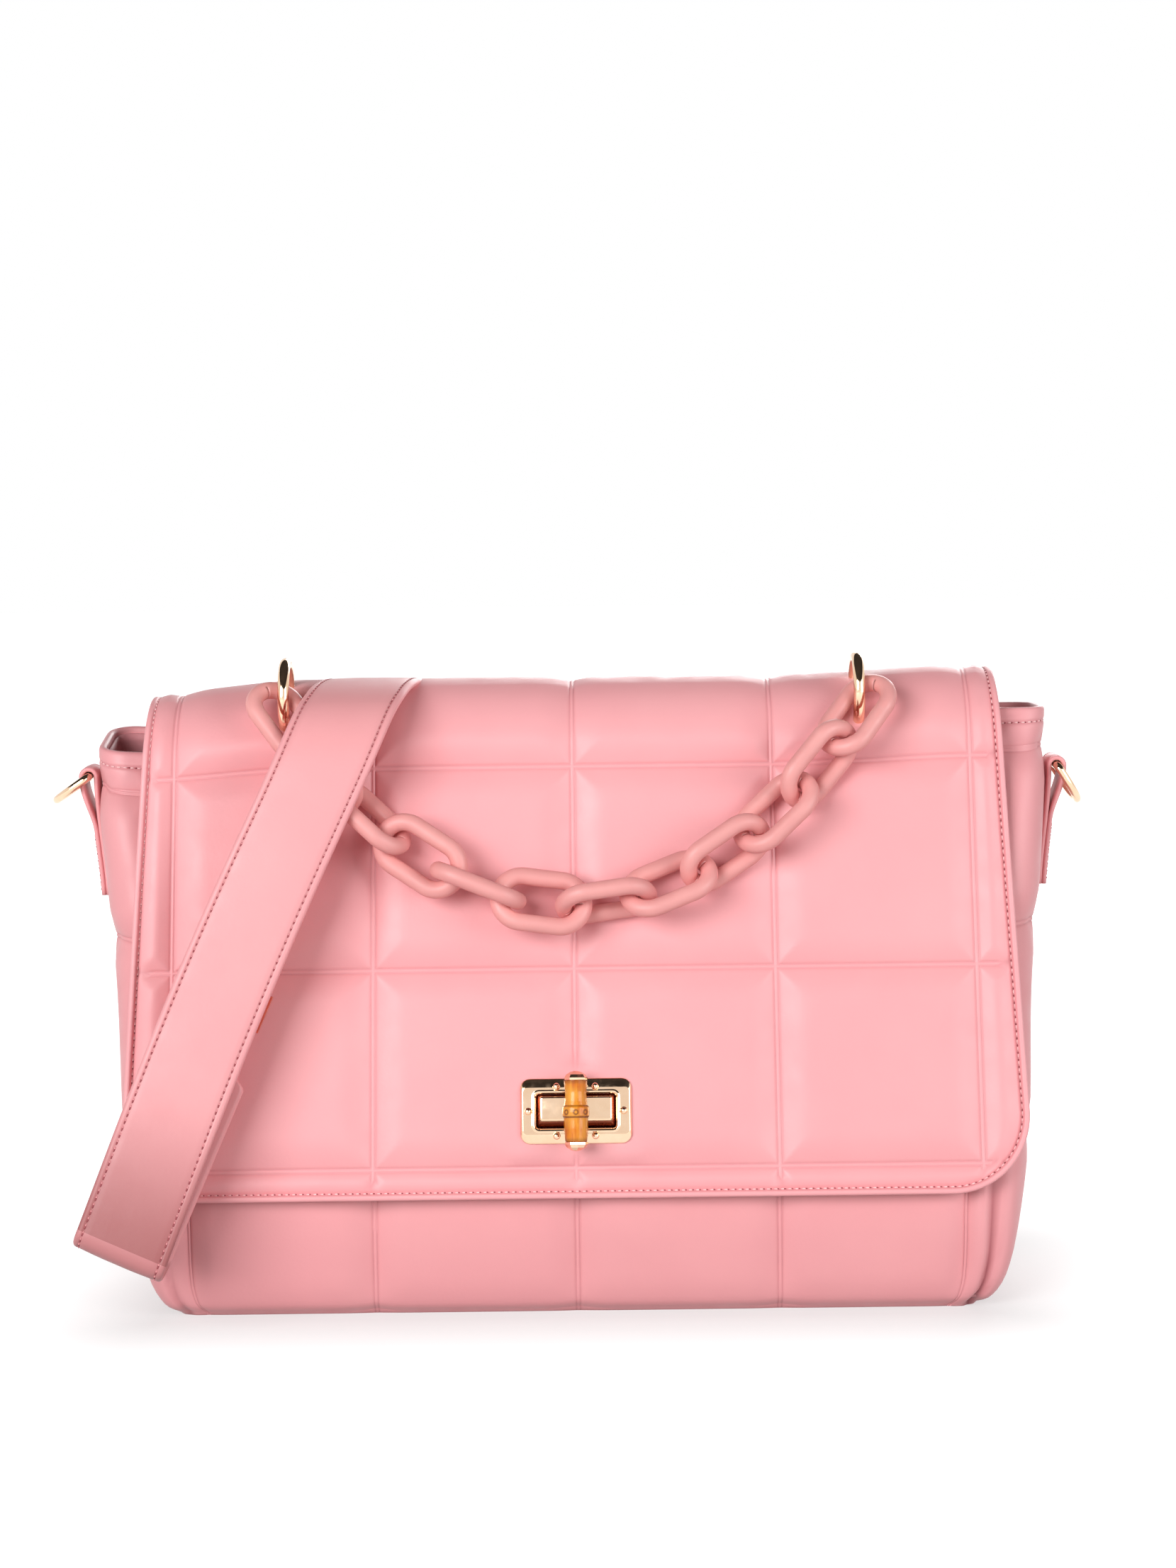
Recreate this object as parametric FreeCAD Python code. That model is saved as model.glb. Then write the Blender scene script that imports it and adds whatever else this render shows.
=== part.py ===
# Quilted flap shoulder bag with a resin chain handle, a draped leather strap,
# a turn-lock with a bamboo bar, and a ring in a leather tab on each side.
# Millimetres. +X runs to the right of the front, +Y to the back, +Z up.
# The origin is the middle of the base, on the surface that the bag stands on.

import FreeCAD
import Part
import math
import os

# Body shell
body_width = 350.0
body_depth = 103.0
body_height = 204.0
mouth_front_drop = 7.0
shell_wall = 3.5
seam_inset = 2.0
base_margin = 5.0
lining_gap = 0.3
lining_wall = 0.8
facing_height = 22.0
board_thickness = 1.5
board_margin = 2.0

# Each row: height as a share of body_height, half width as a share of half of body_width,
# front and back reach and corner radius as shares of half of body_depth
body_profile_shares = (
    (0.000, 0.800, 0.740, 0.740, 0.36),
    (0.020, 0.869, 0.870, 0.870, 0.36),
    (0.070, 0.926, 0.950, 0.950, 0.36),
    (0.170, 0.957, 0.990, 1.000, 0.36),
    (0.290, 0.971, 0.960, 1.000, 0.36),
    (0.580, 0.980, 0.740, 0.840, 0.34),
    (0.785, 0.989, 0.575, 0.665, 0.28),
    (1.000, 1.000, 0.330, 0.470, 0.22),
)

# Flap
crest_centre_drop = 9.7
crest_gap = 0.256921
crest_offset = 0.9
flap_panel_thickness = 3.3
flap_lining_thickness = 1.2
flap_body_gap = 1.990865
flap_hinge_degrees = 12.0
flap_edge_height = 41.0
flap_top_width = 310.0
flap_edge_width = 324.0
flap_corner_radius = 28.0
flap_lining_margin = 4.0

# Turn-lock
lock_height = 74.0
plate_width = 39.4
plate_height = 22.7
plate_thickness = 1.6
plate_corner = 3.5
window_width = 28.3
window_height = 13.1
window_corner = 2.0
boss_width = 25.5
boss_height = 8.6
boss_rise = 2.6
spindle_diameter = 4.0
spindle_depth = 1.8
spindle_clearance = 0.2
bar_length = 27.8
bar_diameter = 8.9
bar_node_diameter = 9.6
bar_node_length = 3.0
bar_clearance = 0.5
cap_length = 3.4
cap_diameter = 8.2
cap_dome_share = 0.6
rivet_head_diameter = 2.5
rivet_head_rise = 0.8
rivet_shank_diameter = 1.5
rivet_clearance = 0.1
back_plate_thickness = 0.8
rivet_edge_inset = 2.8
rivet_pair_spacing = 13.7

# Magnetic closure
snap_height = 54.0
snap_diameter = 16.0
snap_recess = 1.2
snap_gap = 0.3

# Top rings
ring_spacing = 208.0
ring_outer_diameter = 28.0
ring_wire = 4.2
ring_angle_degrees = 128.0
ring_stand_off = 2.1
ring_hole_clearance = 0.5

# Chain
link_count = 12
link_length = 36.6
link_width = 23.0
link_wire = 6.2
link_slack = 0.9
link_leather_gap = 0.5
link_grip_height = 8.45
link_grip_drop = 7.8
link_grip_spread = 5.15
# Turn of each link about the run of the chain, from the right-hand ring to the left
link_roll_degrees = (30, -46, 42, -46, 40, -65, 12, 88, -14, 62, -48, 29)

# Strap
strap_width = 33.5
strap_thickness = 3.0
strap_slant_degrees = 23.0
strap_back_slant_degrees = 10.0
strap_back_drop = 18.0
strap_links_covered = 3
strap_chain_gap = 0.5
strap_crest_gap = 0.6
strap_leave_degrees = 100.0
strap_shoulder_radius = 12.0
fold_gap = 6.0
strap_ring_gap = 2.3608
fold_height = 25.0
tail_length = 70.0
strap_back_length = 120.0
strap_end_width = 20.0
strap_end_length = 22.0

# Strap hooks
eye_rod = 3.2
eye_clearance = 0.3
eye_length = 12.0
swivel_pin_diameter = 3.0
swivel_head_diameter = 5.0
swivel_head_length = 1.5
swivel_clearance = 0.3
hook_stem_diameter = 6.0
hook_stem_length = 7.0
hook_ring_diameter = 22.0
hook_wire = 4.0
hook_gap_degrees = 36.0
gate_wire = 3.0
gate_clearance = 0.4

# Side tabs and rings
tab_top_drop = 14.0
tab_length = 44.0
tab_width = 16.0
tab_ply = 1.7
tab_gap = 0.2
tab_taper_length = 18.0
side_ring_wire = 3.0
side_ring_clearance = 0.4
side_ring_reach = 17.0
side_ring_side_gap = 1.0
left_side_ring_degrees = 55.0
right_side_ring_degrees = 32.0

# One overrun serves all cuts
overrun = 5.0
solver_steps = 200

# Values that follow from the sizes above
half_width = body_width / 2
half_depth = body_depth / 2
span = body_width + body_depth + body_height
flap_thickness = flap_panel_thickness + flap_lining_thickness
tab_top_height = body_height - tab_top_drop
ring_radius = (ring_outer_diameter - ring_wire) / 2
link_bend = (link_width - link_wire) / 2
link_run = link_length - link_wire
link_overlap = link_wire + link_slack
link_pitch = link_run - link_overlap


# The flap rolls over the back of the rim and then hangs clear of the body's front
rim_back = body_profile_shares[-1][3] * half_depth
crest_centre_height = body_height - crest_centre_drop
crest_radius = math.hypot(rim_back - crest_offset, crest_centre_drop) + crest_gap + flap_thickness
crest_height = crest_centre_height + crest_radius


def lean_past(row):
    """Lean at which the flap's inner face clears one row of the body's front."""
    reach = row[2] * half_depth + crest_offset
    drop = crest_centre_height - row[0] * body_height
    distance = math.hypot(reach, drop)
    face_distance = crest_radius - flap_thickness - flap_body_gap
    if distance <= face_distance:
        return 0
    return math.acos(face_distance / distance) - math.atan2(drop, reach)


flap_lean = max(lean_past(row) for row in body_profile_shares)
flap_face_degrees = 180 - math.degrees(flap_lean)


def vec(x, y, z):
    return FreeCAD.Vector(x, y, z)


def crest_point(radius, degrees, x=0):
    """Point at a distance from the crest roll's axis, turned from +Y towards +Z."""
    angle = math.radians(degrees)
    y = crest_offset + radius * math.cos(angle)
    z = crest_centre_height + radius * math.sin(angle)
    return vec(x, y, z)


def place(shape, origin, x_axis, y_axis, z_axis):
    """Copy of a shape made in a local frame, set at an origin with the given axes."""
    matrix = FreeCAD.Matrix(
        x_axis.x, y_axis.x, z_axis.x, origin.x,
        x_axis.y, y_axis.y, z_axis.y, origin.y,
        x_axis.z, y_axis.z, z_axis.z, origin.z,
        0, 0, 0, 1)
    placed = shape.copy()
    placed.Placement = FreeCAD.Placement(matrix).multiply(shape.Placement)
    return placed


def prism(points, direction):
    """Solid swept from a closed polygon."""
    face = Part.Face(Part.makePolygon(list(points) + [points[0]]))
    return face.extrude(direction)


def cylinder(radius, start, end):
    run = end - start
    return Part.makeCylinder(radius, run.Length, start, run)


def rounded_rectangle(x_low, x_high, y_low, y_high, radius, z):
    """Closed wire of four lines and four quarter arcs at one height."""
    reach = radius * math.sqrt(0.5)
    corners = (
        (x_high - radius, y_low + radius, 1, -1),
        (x_high - radius, y_high - radius, 1, 1),
        (x_low + radius, y_high - radius, -1, 1),
        (x_low + radius, y_low + radius, -1, -1),
    )
    arcs = []
    for x, y, x_side, y_side in corners:
        across = vec(x + x_side * radius, y, z)
        along = vec(x, y + y_side * radius, z)
        middle = vec(x + x_side * reach, y + y_side * reach, z)
        ends = (along, across) if x_side * y_side < 0 else (across, along)
        arcs.append(Part.Arc(ends[0], middle, ends[1]))
    edges = []
    for arc, following in zip(arcs, arcs[1:] + arcs[:1]):
        edges.append(arc.toShape())
        edges.append(Part.LineSegment(arc.EndPoint, following.StartPoint).toShape())
    return Part.Wire(edges)


def rounded_plate(width, height, radius, low, high):
    """Flat plate with rounded corners, centred on the local origin."""
    wire = rounded_rectangle(-width / 2, width / 2, -height / 2, height / 2, radius, low)
    return Part.Face(wire).extrude(vec(0, 0, high - low))


def body_profile(height):
    """Half width, front reach, back reach and corner radius of the body at a height."""
    share = height / body_height
    rows = body_profile_shares
    for low, high in zip(rows, rows[1:]):
        if share <= high[0]:
            break
    step = (share - low[0]) / (high[0] - low[0])
    row = [a + step * (b - a) for a, b in zip(low, high)]
    return row[1] * half_width, row[2] * half_depth, row[3] * half_depth, row[4] * half_depth


def body_solid(inset, bottom):
    """The body's outer form, drawn in on all sides and starting at a height."""
    heights = [bottom]
    heights += [row[0] * body_height for row in body_profile_shares]
    heights = [height for height in heights if height >= bottom]
    wires = []
    for height in sorted(set(heights)):
        wide, front, back, radius = body_profile(height)
        wires.append(rounded_rectangle(
            inset - wide, wide - inset, inset - front, back - inset, radius - inset, height))
    return Part.makeLoft(wires, True, True)


def mouth_height(y):
    """Height of the sloping rim above a place between the front and the back."""
    front = body_profile(body_height)[1]
    back = body_profile(body_height)[2]
    return body_height - mouth_front_drop * (back - y) / (back + front)


def above_rim(drop):
    """Everything above the rim, or above a level that lies lower by drop."""
    points = [
        vec(-span, -span, mouth_height(-span) - drop),
        vec(-span, span, mouth_height(span) - drop),
        vec(-span, span, span + span),
        vec(-span, -span, span + span),
    ]
    return prism(points, vec(span + span, 0, 0))


def seam_side(front):
    """Everything in front of the front seams, or behind the back seams."""
    points = []
    for row in body_profile_shares:
        height = row[0] * body_height
        wide, front_reach, back_reach, radius = body_profile(height)
        seam = radius + seam_inset - front_reach if front else back_reach - radius - seam_inset
        points.append(vec(-span, seam, height))
    first, last = points[0], points[-1]
    outside = -span if front else span
    points.insert(0, vec(-span, first.y, -overrun))
    points.append(vec(-span, last.y, body_height + overrun))
    points.append(vec(-span, outside, body_height + overrun))
    points.append(vec(-span, outside, -overrun))
    return prism(points, vec(span + span, 0, 0))


def body_shell():
    """Front, back, side and base panels, which meet along their seams."""
    inside = body_solid(shell_wall, shell_wall)
    shell = body_solid(0, 0).cut(inside).cut(above_rim(0))
    wide, front, back, radius = body_profile(0)
    base_length = (wide - base_margin) * 2
    base_depth = (front - base_margin) * 2
    base_cut = Part.makeBox(
        base_length, base_depth, shell_wall + overrun, vec(-base_length / 2, -base_depth / 2, -overrun))
    front_side = seam_side(True)
    back_side = seam_side(False)
    walls = shell.cut(base_cut)
    sides = walls.cut(front_side).cut(back_side)
    left_half = Part.makeBox(span, span * 2, span * 2, vec(-span, -span, -span))
    return {
        "base_panel": shell.common(base_cut),
        "front_panel": walls.common(front_side),
        "back_panel": walls.common(back_side),
        "left_gusset": sides.common(left_half),
        "right_gusset": sides.cut(left_half),
    }


def body_inside():
    """Stiffener, lining and the leather strip along the inside of the rim."""
    wide, front, back, radius = body_profile(shell_wall)
    length = (wide - radius - board_margin) * 2
    depth = (front - shell_wall - board_margin) * 2
    board = Part.makeBox(length, depth, board_thickness, vec(-length / 2, -depth / 2, shell_wall))
    inset = shell_wall + lining_gap
    floor = shell_wall + board_thickness + lining_gap
    outside = body_solid(inset, floor)
    skin = outside.cut(body_solid(inset + lining_wall, floor + lining_wall)).cut(above_rim(0))
    return {
        "base_board": board,
        "lining": skin.cut(above_rim(facing_height)),
        "mouth_facing": skin.common(above_rim(facing_height)),
    }


def flap_front_frame(x, height):
    """Origin on the flap's front face with axes across, up the face and outwards."""
    tangent = crest_point(crest_radius, flap_face_degrees)
    y = tangent.y - (tangent.z - height) * math.tan(flap_lean)
    up = vec(0, math.sin(flap_lean), math.cos(flap_lean))
    out = vec(0, -math.cos(flap_lean), math.sin(flap_lean))
    return vec(x, y, height), vec(1, 0, 0), up, out


def flap_ply(outer_inset, inner_inset, margin):
    """One ply of the flap: over the crest, down the front, with rounded lower corners."""
    outer = crest_radius - outer_inset
    inner = crest_radius - inner_inset
    middle = (flap_hinge_degrees + flap_face_degrees) / 2
    origin, across, up, out = flap_front_frame(0, flap_edge_height)
    edge = origin + up * margin
    path = []
    path.append(Part.Arc(crest_point(outer, flap_hinge_degrees), crest_point(outer, middle),
                         crest_point(outer, flap_face_degrees)).toShape())
    outer_edge = edge - out * outer_inset
    inner_edge = edge - out * inner_inset
    path.append(Part.makeLine(crest_point(outer, flap_face_degrees), outer_edge))
    path.append(Part.makeLine(outer_edge, inner_edge))
    path.append(Part.makeLine(inner_edge, crest_point(inner, flap_face_degrees)))
    path.append(Part.Arc(crest_point(inner, flap_face_degrees), crest_point(inner, middle),
                         crest_point(inner, flap_hinge_degrees)).toShape())
    path.append(Part.makeLine(crest_point(inner, flap_hinge_degrees), crest_point(outer, flap_hinge_degrees)))
    sheet = Part.Face(Part.Wire(path)).extrude(vec(flap_edge_width, 0, 0))
    sheet.translate(vec(-flap_edge_width / 2, 0, 0))
    return sheet.common(flap_outline(margin))


def flap_outline(margin):
    """Front view of the flap, swept from front to back."""
    top = flap_top_width / 2 - margin
    edge = flap_edge_width / 2 - margin
    low = flap_edge_height + margin
    high = crest_height + overrun
    slope = (edge - top) / (crest_height - flap_edge_height)
    corner_side = edge - slope * flap_corner_radius
    corner = flap_corner_radius
    middle = corner * (1 - math.sqrt(0.5))
    start = -span
    right = vec(corner_side, start, low + corner)
    right_low = vec(edge - corner, start, low)
    left_low = vec(corner - edge, start, low)
    left = vec(-corner_side, start, low + corner)
    edges = [
        Part.makeLine(vec(top, start, high), right),
        Part.Arc(right, vec(edge - middle, start, low + middle), right_low).toShape(),
        Part.makeLine(right_low, left_low),
        Part.Arc(left_low, vec(middle - edge, start, low + middle), left).toShape(),
        Part.makeLine(left, vec(-top, start, high)),
        Part.makeLine(vec(-top, start, high), vec(top, start, high)),
    ]
    return Part.Face(Part.Wire(edges)).extrude(vec(0, span * 2, 0))


def rivet_places():
    """Two rivets at the plate's ends and two pairs along its long edges."""
    end = plate_width / 2 - rivet_edge_inset
    edge = plate_height / 2 - rivet_edge_inset
    pair = rivet_pair_spacing / 2
    return [(-end, 0), (end, 0), (-pair, edge), (pair, edge), (-pair, -edge), (pair, -edge)]


def lock_parts():
    """Plate, boss, rivets, bar and spindle of the lock in the plate's own frame."""
    plate = rounded_plate(plate_width, plate_height, plate_corner, 0, plate_thickness)
    plate = plate.cut(rounded_plate(window_width, window_height, window_corner, -overrun, overrun))
    base = rounded_plate(boss_width, boss_height, window_corner, 0, boss_rise)
    bore = spindle_diameter / 2 + spindle_clearance
    spindle_foot = boss_rise - spindle_depth
    bore_foot = vec(0, 0, spindle_foot - spindle_clearance)
    base = base.cut(cylinder(bore, bore_foot, vec(0, 0, boss_rise + overrun)))
    anchor = -flap_panel_thickness
    back_plate = rounded_plate(plate_width, plate_height, plate_corner, anchor, anchor + back_plate_thickness)
    holes = []
    rivets = []
    for x, y in rivet_places():
        foot = vec(x, y, anchor)
        top = vec(x, y, plate_thickness)
        shank = cylinder(rivet_shank_diameter / 2, foot, top)
        dome = Part.makeCone(rivet_head_diameter / 2, rivet_shank_diameter / 2, rivet_head_rise, top)
        rivets.append(shank.fuse(dome).removeSplitter())
        hole_radius = rivet_shank_diameter / 2 + rivet_clearance
        holes.append(cylinder(hole_radius, foot - vec(0, 0, overrun), top + vec(0, 0, overrun)))
    for hole in holes:
        plate = plate.cut(hole)
        back_plate = back_plate.cut(hole)
    parts = {
        "lock_plate": plate,
        "lock_base": base,
        "lock_back_plate": back_plate,
        "lock_rivets": Part.makeCompound(rivets),
    }
    parts.update(lock_bar_parts(spindle_foot))
    pocket = rounded_plate(
        plate_width, plate_height, plate_corner, anchor - overrun, anchor + back_plate_thickness)
    return parts, holes + [pocket]


def lock_bar_parts(spindle_foot):
    """Bamboo bar with its node ring, two domed caps, and the spindle that it turns on."""
    axis_height = boss_rise + bar_clearance + bar_node_diameter / 2
    radius = bar_diameter / 2
    wood_end = bar_length / 2 - cap_length
    wood = cylinder(radius, vec(0, -wood_end, axis_height), vec(0, wood_end, axis_height))
    node_half = bar_node_length / 2
    node = cylinder(bar_node_diameter / 2, vec(0, -node_half, axis_height), vec(0, node_half, axis_height))
    spindle = cylinder(spindle_diameter / 2, vec(0, 0, spindle_foot), vec(0, 0, axis_height))
    wood = wood.fuse(node).removeSplitter().cut(spindle)
    parts = {"bamboo_bar": wood, "lock_spindle": spindle}
    for name, side in (("bar_cap_upper", 1), ("bar_cap_lower", -1)):
        start = vec(0, side * wood_end, axis_height)
        run = vec(0, side * cap_length, 0)
        cap = cylinder(cap_diameter / 2, start, start + run)
        rim = cap.Edges
        outer = [edge for edge in rim if abs(edge.CenterOfMass.y - start.y - run.y) < cap_length / 2
                 and edge.Closed]
        parts[name] = cap.makeFillet(cap_length * cap_dome_share, outer[:1])
    return parts


def snap_parts():
    """Two flat magnets that meet behind the flap, and the pockets that they sit in."""
    origin, across, up, out = flap_front_frame(0, snap_height)
    inner_face = origin - out * flap_thickness
    front_reach = body_profile(snap_height)[1]
    room = (inner_face.y + front_reach) * out.y
    rise = (room - snap_gap) / 2
    radius = snap_diameter / 2
    on_flap = cylinder(radius, inner_face + out * snap_recess, inner_face - out * rise)
    body_face = inner_face - out * room
    on_body = cylinder(radius, body_face - out * snap_recess, body_face + out * rise)
    return on_flap, on_body


def top_ring(x, wire):
    centre = crest_point(crest_radius + ring_stand_off, ring_angle_degrees, x)
    return Part.makeTorus(ring_radius, wire / 2, centre, vec(1, 0, 0))


def link_roll(count):
    return math.radians(link_roll_degrees[count % len(link_roll_degrees)])


def link_rise(count):
    """How far a rolled link reaches out from its own middle line, and back towards the leather."""
    return link_bend * abs(math.sin(link_roll(count))) + link_wire / 2


def joint_height(joint):
    """Height above the leather that clears the two links that meet at a joint."""
    if joint in (0, link_count):
        return link_grip_height
    return max(link_rise(joint - 1), link_rise(joint)) + link_leather_gap


def flap_surface(x, run, height):
    """Point above the flap's outer face, a run down the chain's path from the rings."""
    turn = math.radians(flap_face_degrees - ring_angle_degrees)
    path_radius = crest_radius + joint_height(1)
    roll_run = path_radius * turn
    if run <= roll_run:
        return crest_point(crest_radius + height, ring_angle_degrees + math.degrees(run / path_radius), x)
    down = flap_front_frame(x, crest_centre_height)[2] * -1
    return crest_point(crest_radius + height, flap_face_degrees, x) + down * (run - roll_run)


def chain_joints():
    """Places where one link meets the next: a hanging chain laid on the flap."""
    length = link_pitch * link_count
    width = ring_spacing + link_grip_spread * 2
    low = width / span
    high = width * span
    for step in range(solver_steps):
        sag = (low + high) / 2
        if 2 * sag * math.sinh(width / (2 * sag)) > length:
            low = sag
        else:
            high = sag
    top = sag * math.cosh(width / (2 * sag))
    joints = []
    for count in range(link_count + 1):
        along = length / 2 - count * link_pitch
        x = sag * math.asinh(along / sag)
        run = link_grip_drop + top - math.hypot(sag, along)
        joints.append(flap_surface(x, run, joint_height(count)))
    return joints


def link_solid():
    """One link, long axis on X, width on Y, made of two straights and two bends."""
    straight = link_run / 2 - link_bend
    radius = link_wire / 2
    pieces = []
    for side in (1, -1):
        start = vec(-straight, side * link_bend, 0)
        end = vec(straight, side * link_bend, 0)
        pieces.append(cylinder(radius, start, end))
        section = Part.Wire(Part.makeCircle(radius, vec(side * straight, link_bend, 0), vec(1, 0, 0)))
        pieces.append(Part.Face(section).revolve(vec(side * straight, 0, 0), vec(0, 0, -side), 180))
    return pieces[0].multiFuse(pieces[1:]).removeSplitter()


def chain_links():
    """Every link between its two joints, turned about the run of the chain."""
    joints = chain_joints()
    link = link_solid()
    links = {}
    for count in range(link_count):
        start, end = joints[count], joints[count + 1]
        along = (end - start).normalize()
        middle = (start + end) * 0.5
        frame = flap_front_frame(0, crest_centre_height)
        arm = vec(0, middle.y - crest_offset, middle.z - crest_centre_height).normalize()
        out = arm if arm.z > frame[3].z else frame[3]
        across = out.cross(along).normalize()
        outward = along.cross(across)
        lower = across if across.z < 0 else across * -1
        roll = link_roll(count)
        wide = lower * math.cos(roll) + outward * math.sin(roll)
        links["chain_link_%02d" % (count + 1)] = place(link, middle, along, wide, along.cross(wide))
    return links


def chain_reach():
    """How far the links under the strap stand off the flap's front face."""
    covered = range(link_count - strap_links_covered, link_count)
    return max(max(joint_height(count), joint_height(count + 1)) + link_rise(count) for count in covered)


def strap_stand_off():
    return chain_reach() + strap_chain_gap


def end_loop(centre_along, centre_out):
    """Strap end turned round the bar of an eye: a sleeve and the tab that leads to it."""
    bore = eye_bore()
    outer = bore + strap_thickness
    width = strap_end_width
    low = vec(centre_along, -width / 2, centre_out)
    high = vec(centre_along, width / 2, centre_out)
    sleeve = cylinder(outer, low, high)
    tab = Part.makeBox(strap_end_length, width, strap_thickness,
                       vec(centre_along - strap_end_length, -width / 2, centre_out - strap_thickness / 2))
    hole = cylinder(bore, low - vec(0, overrun, 0), high + vec(0, overrun, 0))
    return sleeve.fuse(tab).cut(hole)


def eye_bore():
    return eye_rod * math.sqrt(0.5) + eye_clearance


def front_strap_frame():
    """Origin at the fold, axes up, across and outwards. The top passes beside the left-hand ring."""
    foot, across, up, out = flap_front_frame(0, fold_height)
    foot = foot + out * strap_stand_off()
    slant = math.radians(strap_slant_degrees)
    along = up * math.cos(slant) + across * math.sin(slant)
    climb = (shoulder_point(strap_shoulder_radius, flap_face_degrees).z - foot.z) / along.z
    top_across = (ring_wire - ring_spacing + strap_width / math.cos(slant)) / 2 + strap_ring_gap
    return foot + across * (top_across - along.x * climb), along, out.cross(along), out


def shoulder_centre():
    """Axis of the bend where the strap turns from the crest to the front leg."""
    leave = math.radians(strap_leave_degrees)
    face = math.radians(flap_face_degrees)
    reach_leave = crest_radius + strap_crest_gap - strap_shoulder_radius
    reach_face = crest_radius + strap_stand_off() - strap_shoulder_radius
    turn = math.sin(face - leave)
    y = (reach_leave * math.sin(face) - reach_face * math.sin(leave)) / turn
    z = (reach_face * math.cos(leave) - reach_leave * math.cos(face)) / turn
    return vec(0, crest_offset + y, crest_centre_height + z)


def shoulder_point(radius, degrees):
    angle = math.radians(degrees)
    return shoulder_centre() + vec(0, radius * math.cos(angle), radius * math.sin(angle))


def strap_front():
    """Front leg, the fold at its foot and the tail that runs back up behind it."""
    origin, along, wide, out = front_strap_frame()
    top = shoulder_point(strap_shoulder_radius, flap_face_degrees)
    up = flap_front_frame(0, fold_height)[2]
    leg_length = (top - origin).dot(up) / along.dot(up) + strap_width
    half = strap_width / 2
    leg = Part.makeBox(leg_length, strap_width, strap_thickness, vec(0, -half, 0))
    tail_low = -fold_gap - strap_thickness
    tail = Part.makeBox(tail_length, strap_width, strap_thickness, vec(0, -half, tail_low))
    fold_axis = -fold_gap / 2
    low = vec(0, -half, fold_axis)
    high = vec(0, half, fold_axis)
    fold = cylinder(fold_gap / 2 + strap_thickness, low, high).cut(cylinder(fold_gap / 2, low, high))
    ahead = Part.makeBox(span, span, span, vec(0, -span / 2, -span / 2))
    fold = fold.cut(ahead)
    loop = end_loop(tail_length + strap_end_length, tail_low + strap_thickness / 2)
    solid = leg.multiFuse([fold, tail, loop]).removeSplitter()
    solid = place(solid, origin, along, wide, out)
    level = vec(1, 0, 0)
    cut_box = Part.makeBox(span * 2, span, span * 2, vec(-span, 0, -span))
    return solid.cut(place(cut_box, top, level, up, level.cross(up)))


def strap_crest_places():
    """Where the strap's middle line leaves the front leg and where it starts down the back."""
    origin, along, wide, out = front_strap_frame()
    top = shoulder_point(strap_shoulder_radius, flap_face_degrees)
    climb = (top.z - origin.z) / along.z
    front_x = origin.x + along.x * climb
    back = crest_point(crest_radius + strap_crest_gap, flap_hinge_degrees)
    back_x = front_x + (back.y - top.y) * math.tan(math.radians(strap_back_slant_degrees))
    return front_x, top.y, back_x, back.y


def strap_crest():
    """Stretch of the strap over the crest, from the front leg to the back leg."""
    inner = crest_radius + strap_crest_gap
    outer = inner + strap_thickness
    bend = strap_shoulder_radius
    outer_bend = bend + strap_thickness
    middle = (strap_leave_degrees + flap_face_degrees) / 2
    arch = (strap_leave_degrees + flap_hinge_degrees) / 2
    fall = back_fall() * strap_back_drop
    inner_foot = crest_point(inner, flap_hinge_degrees) + fall
    outer_foot = crest_point(outer, flap_hinge_degrees) + fall
    edges = [
        Part.Arc(shoulder_point(bend, flap_face_degrees), shoulder_point(bend, middle),
                 shoulder_point(bend, strap_leave_degrees)).toShape(),
        Part.makeLine(shoulder_point(bend, strap_leave_degrees), crest_point(inner, strap_leave_degrees)),
        Part.Arc(crest_point(inner, strap_leave_degrees), crest_point(inner, arch),
                 crest_point(inner, flap_hinge_degrees)).toShape(),
        Part.makeLine(crest_point(inner, flap_hinge_degrees), inner_foot),
        Part.makeLine(inner_foot, outer_foot),
        Part.makeLine(outer_foot, crest_point(outer, flap_hinge_degrees)),
        Part.Arc(crest_point(outer, flap_hinge_degrees), crest_point(outer, arch),
                 crest_point(outer, strap_leave_degrees)).toShape(),
        Part.makeLine(
            crest_point(outer, strap_leave_degrees), shoulder_point(outer_bend, strap_leave_degrees)),
        Part.Arc(shoulder_point(outer_bend, strap_leave_degrees), shoulder_point(outer_bend, middle),
                 shoulder_point(outer_bend, flap_face_degrees)).toShape(),
        Part.makeLine(shoulder_point(outer_bend, flap_face_degrees), shoulder_point(bend, flap_face_degrees)),
    ]
    sheet = Part.Face(Part.Wire(edges)).extrude(vec(span * 2, 0, 0))
    sheet.translate(vec(-span, 0, 0))
    front_x, front_y, back_x, back_y = strap_crest_places()
    half = strap_width / math.cos(math.radians(strap_slant_degrees)) / 2
    outline = [
        vec(front_x - half, -span, 0), vec(front_x - half, front_y, 0),
        vec(back_x - half, back_y, 0), vec(back_x - half, span, 0),
        vec(back_x + half, span, 0), vec(back_x + half, back_y, 0),
        vec(front_x + half, front_y, 0), vec(front_x + half, -span, 0),
    ]
    return sheet.common(prism(outline, vec(0, 0, span)))


def back_fall():
    """Direction in which the strap falls behind the crest."""
    lean = math.radians(flap_hinge_degrees)
    return vec(0, math.sin(lean), -math.cos(lean))


def back_strap_frame():
    """Origin at the top of the back leg, axes down the strap, across it and outwards."""
    back_x = strap_crest_places()[2]
    down = back_fall()
    level = vec(1, 0, 0)
    out = down.cross(level) * -1
    slant = math.radians(strap_back_slant_degrees)
    along = down * math.cos(slant) + level * math.sin(slant)
    wide = out.cross(along)
    origin = crest_point(crest_radius + strap_crest_gap, flap_hinge_degrees, back_x) + down * strap_back_drop
    return origin, along, wide, out, down


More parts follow.
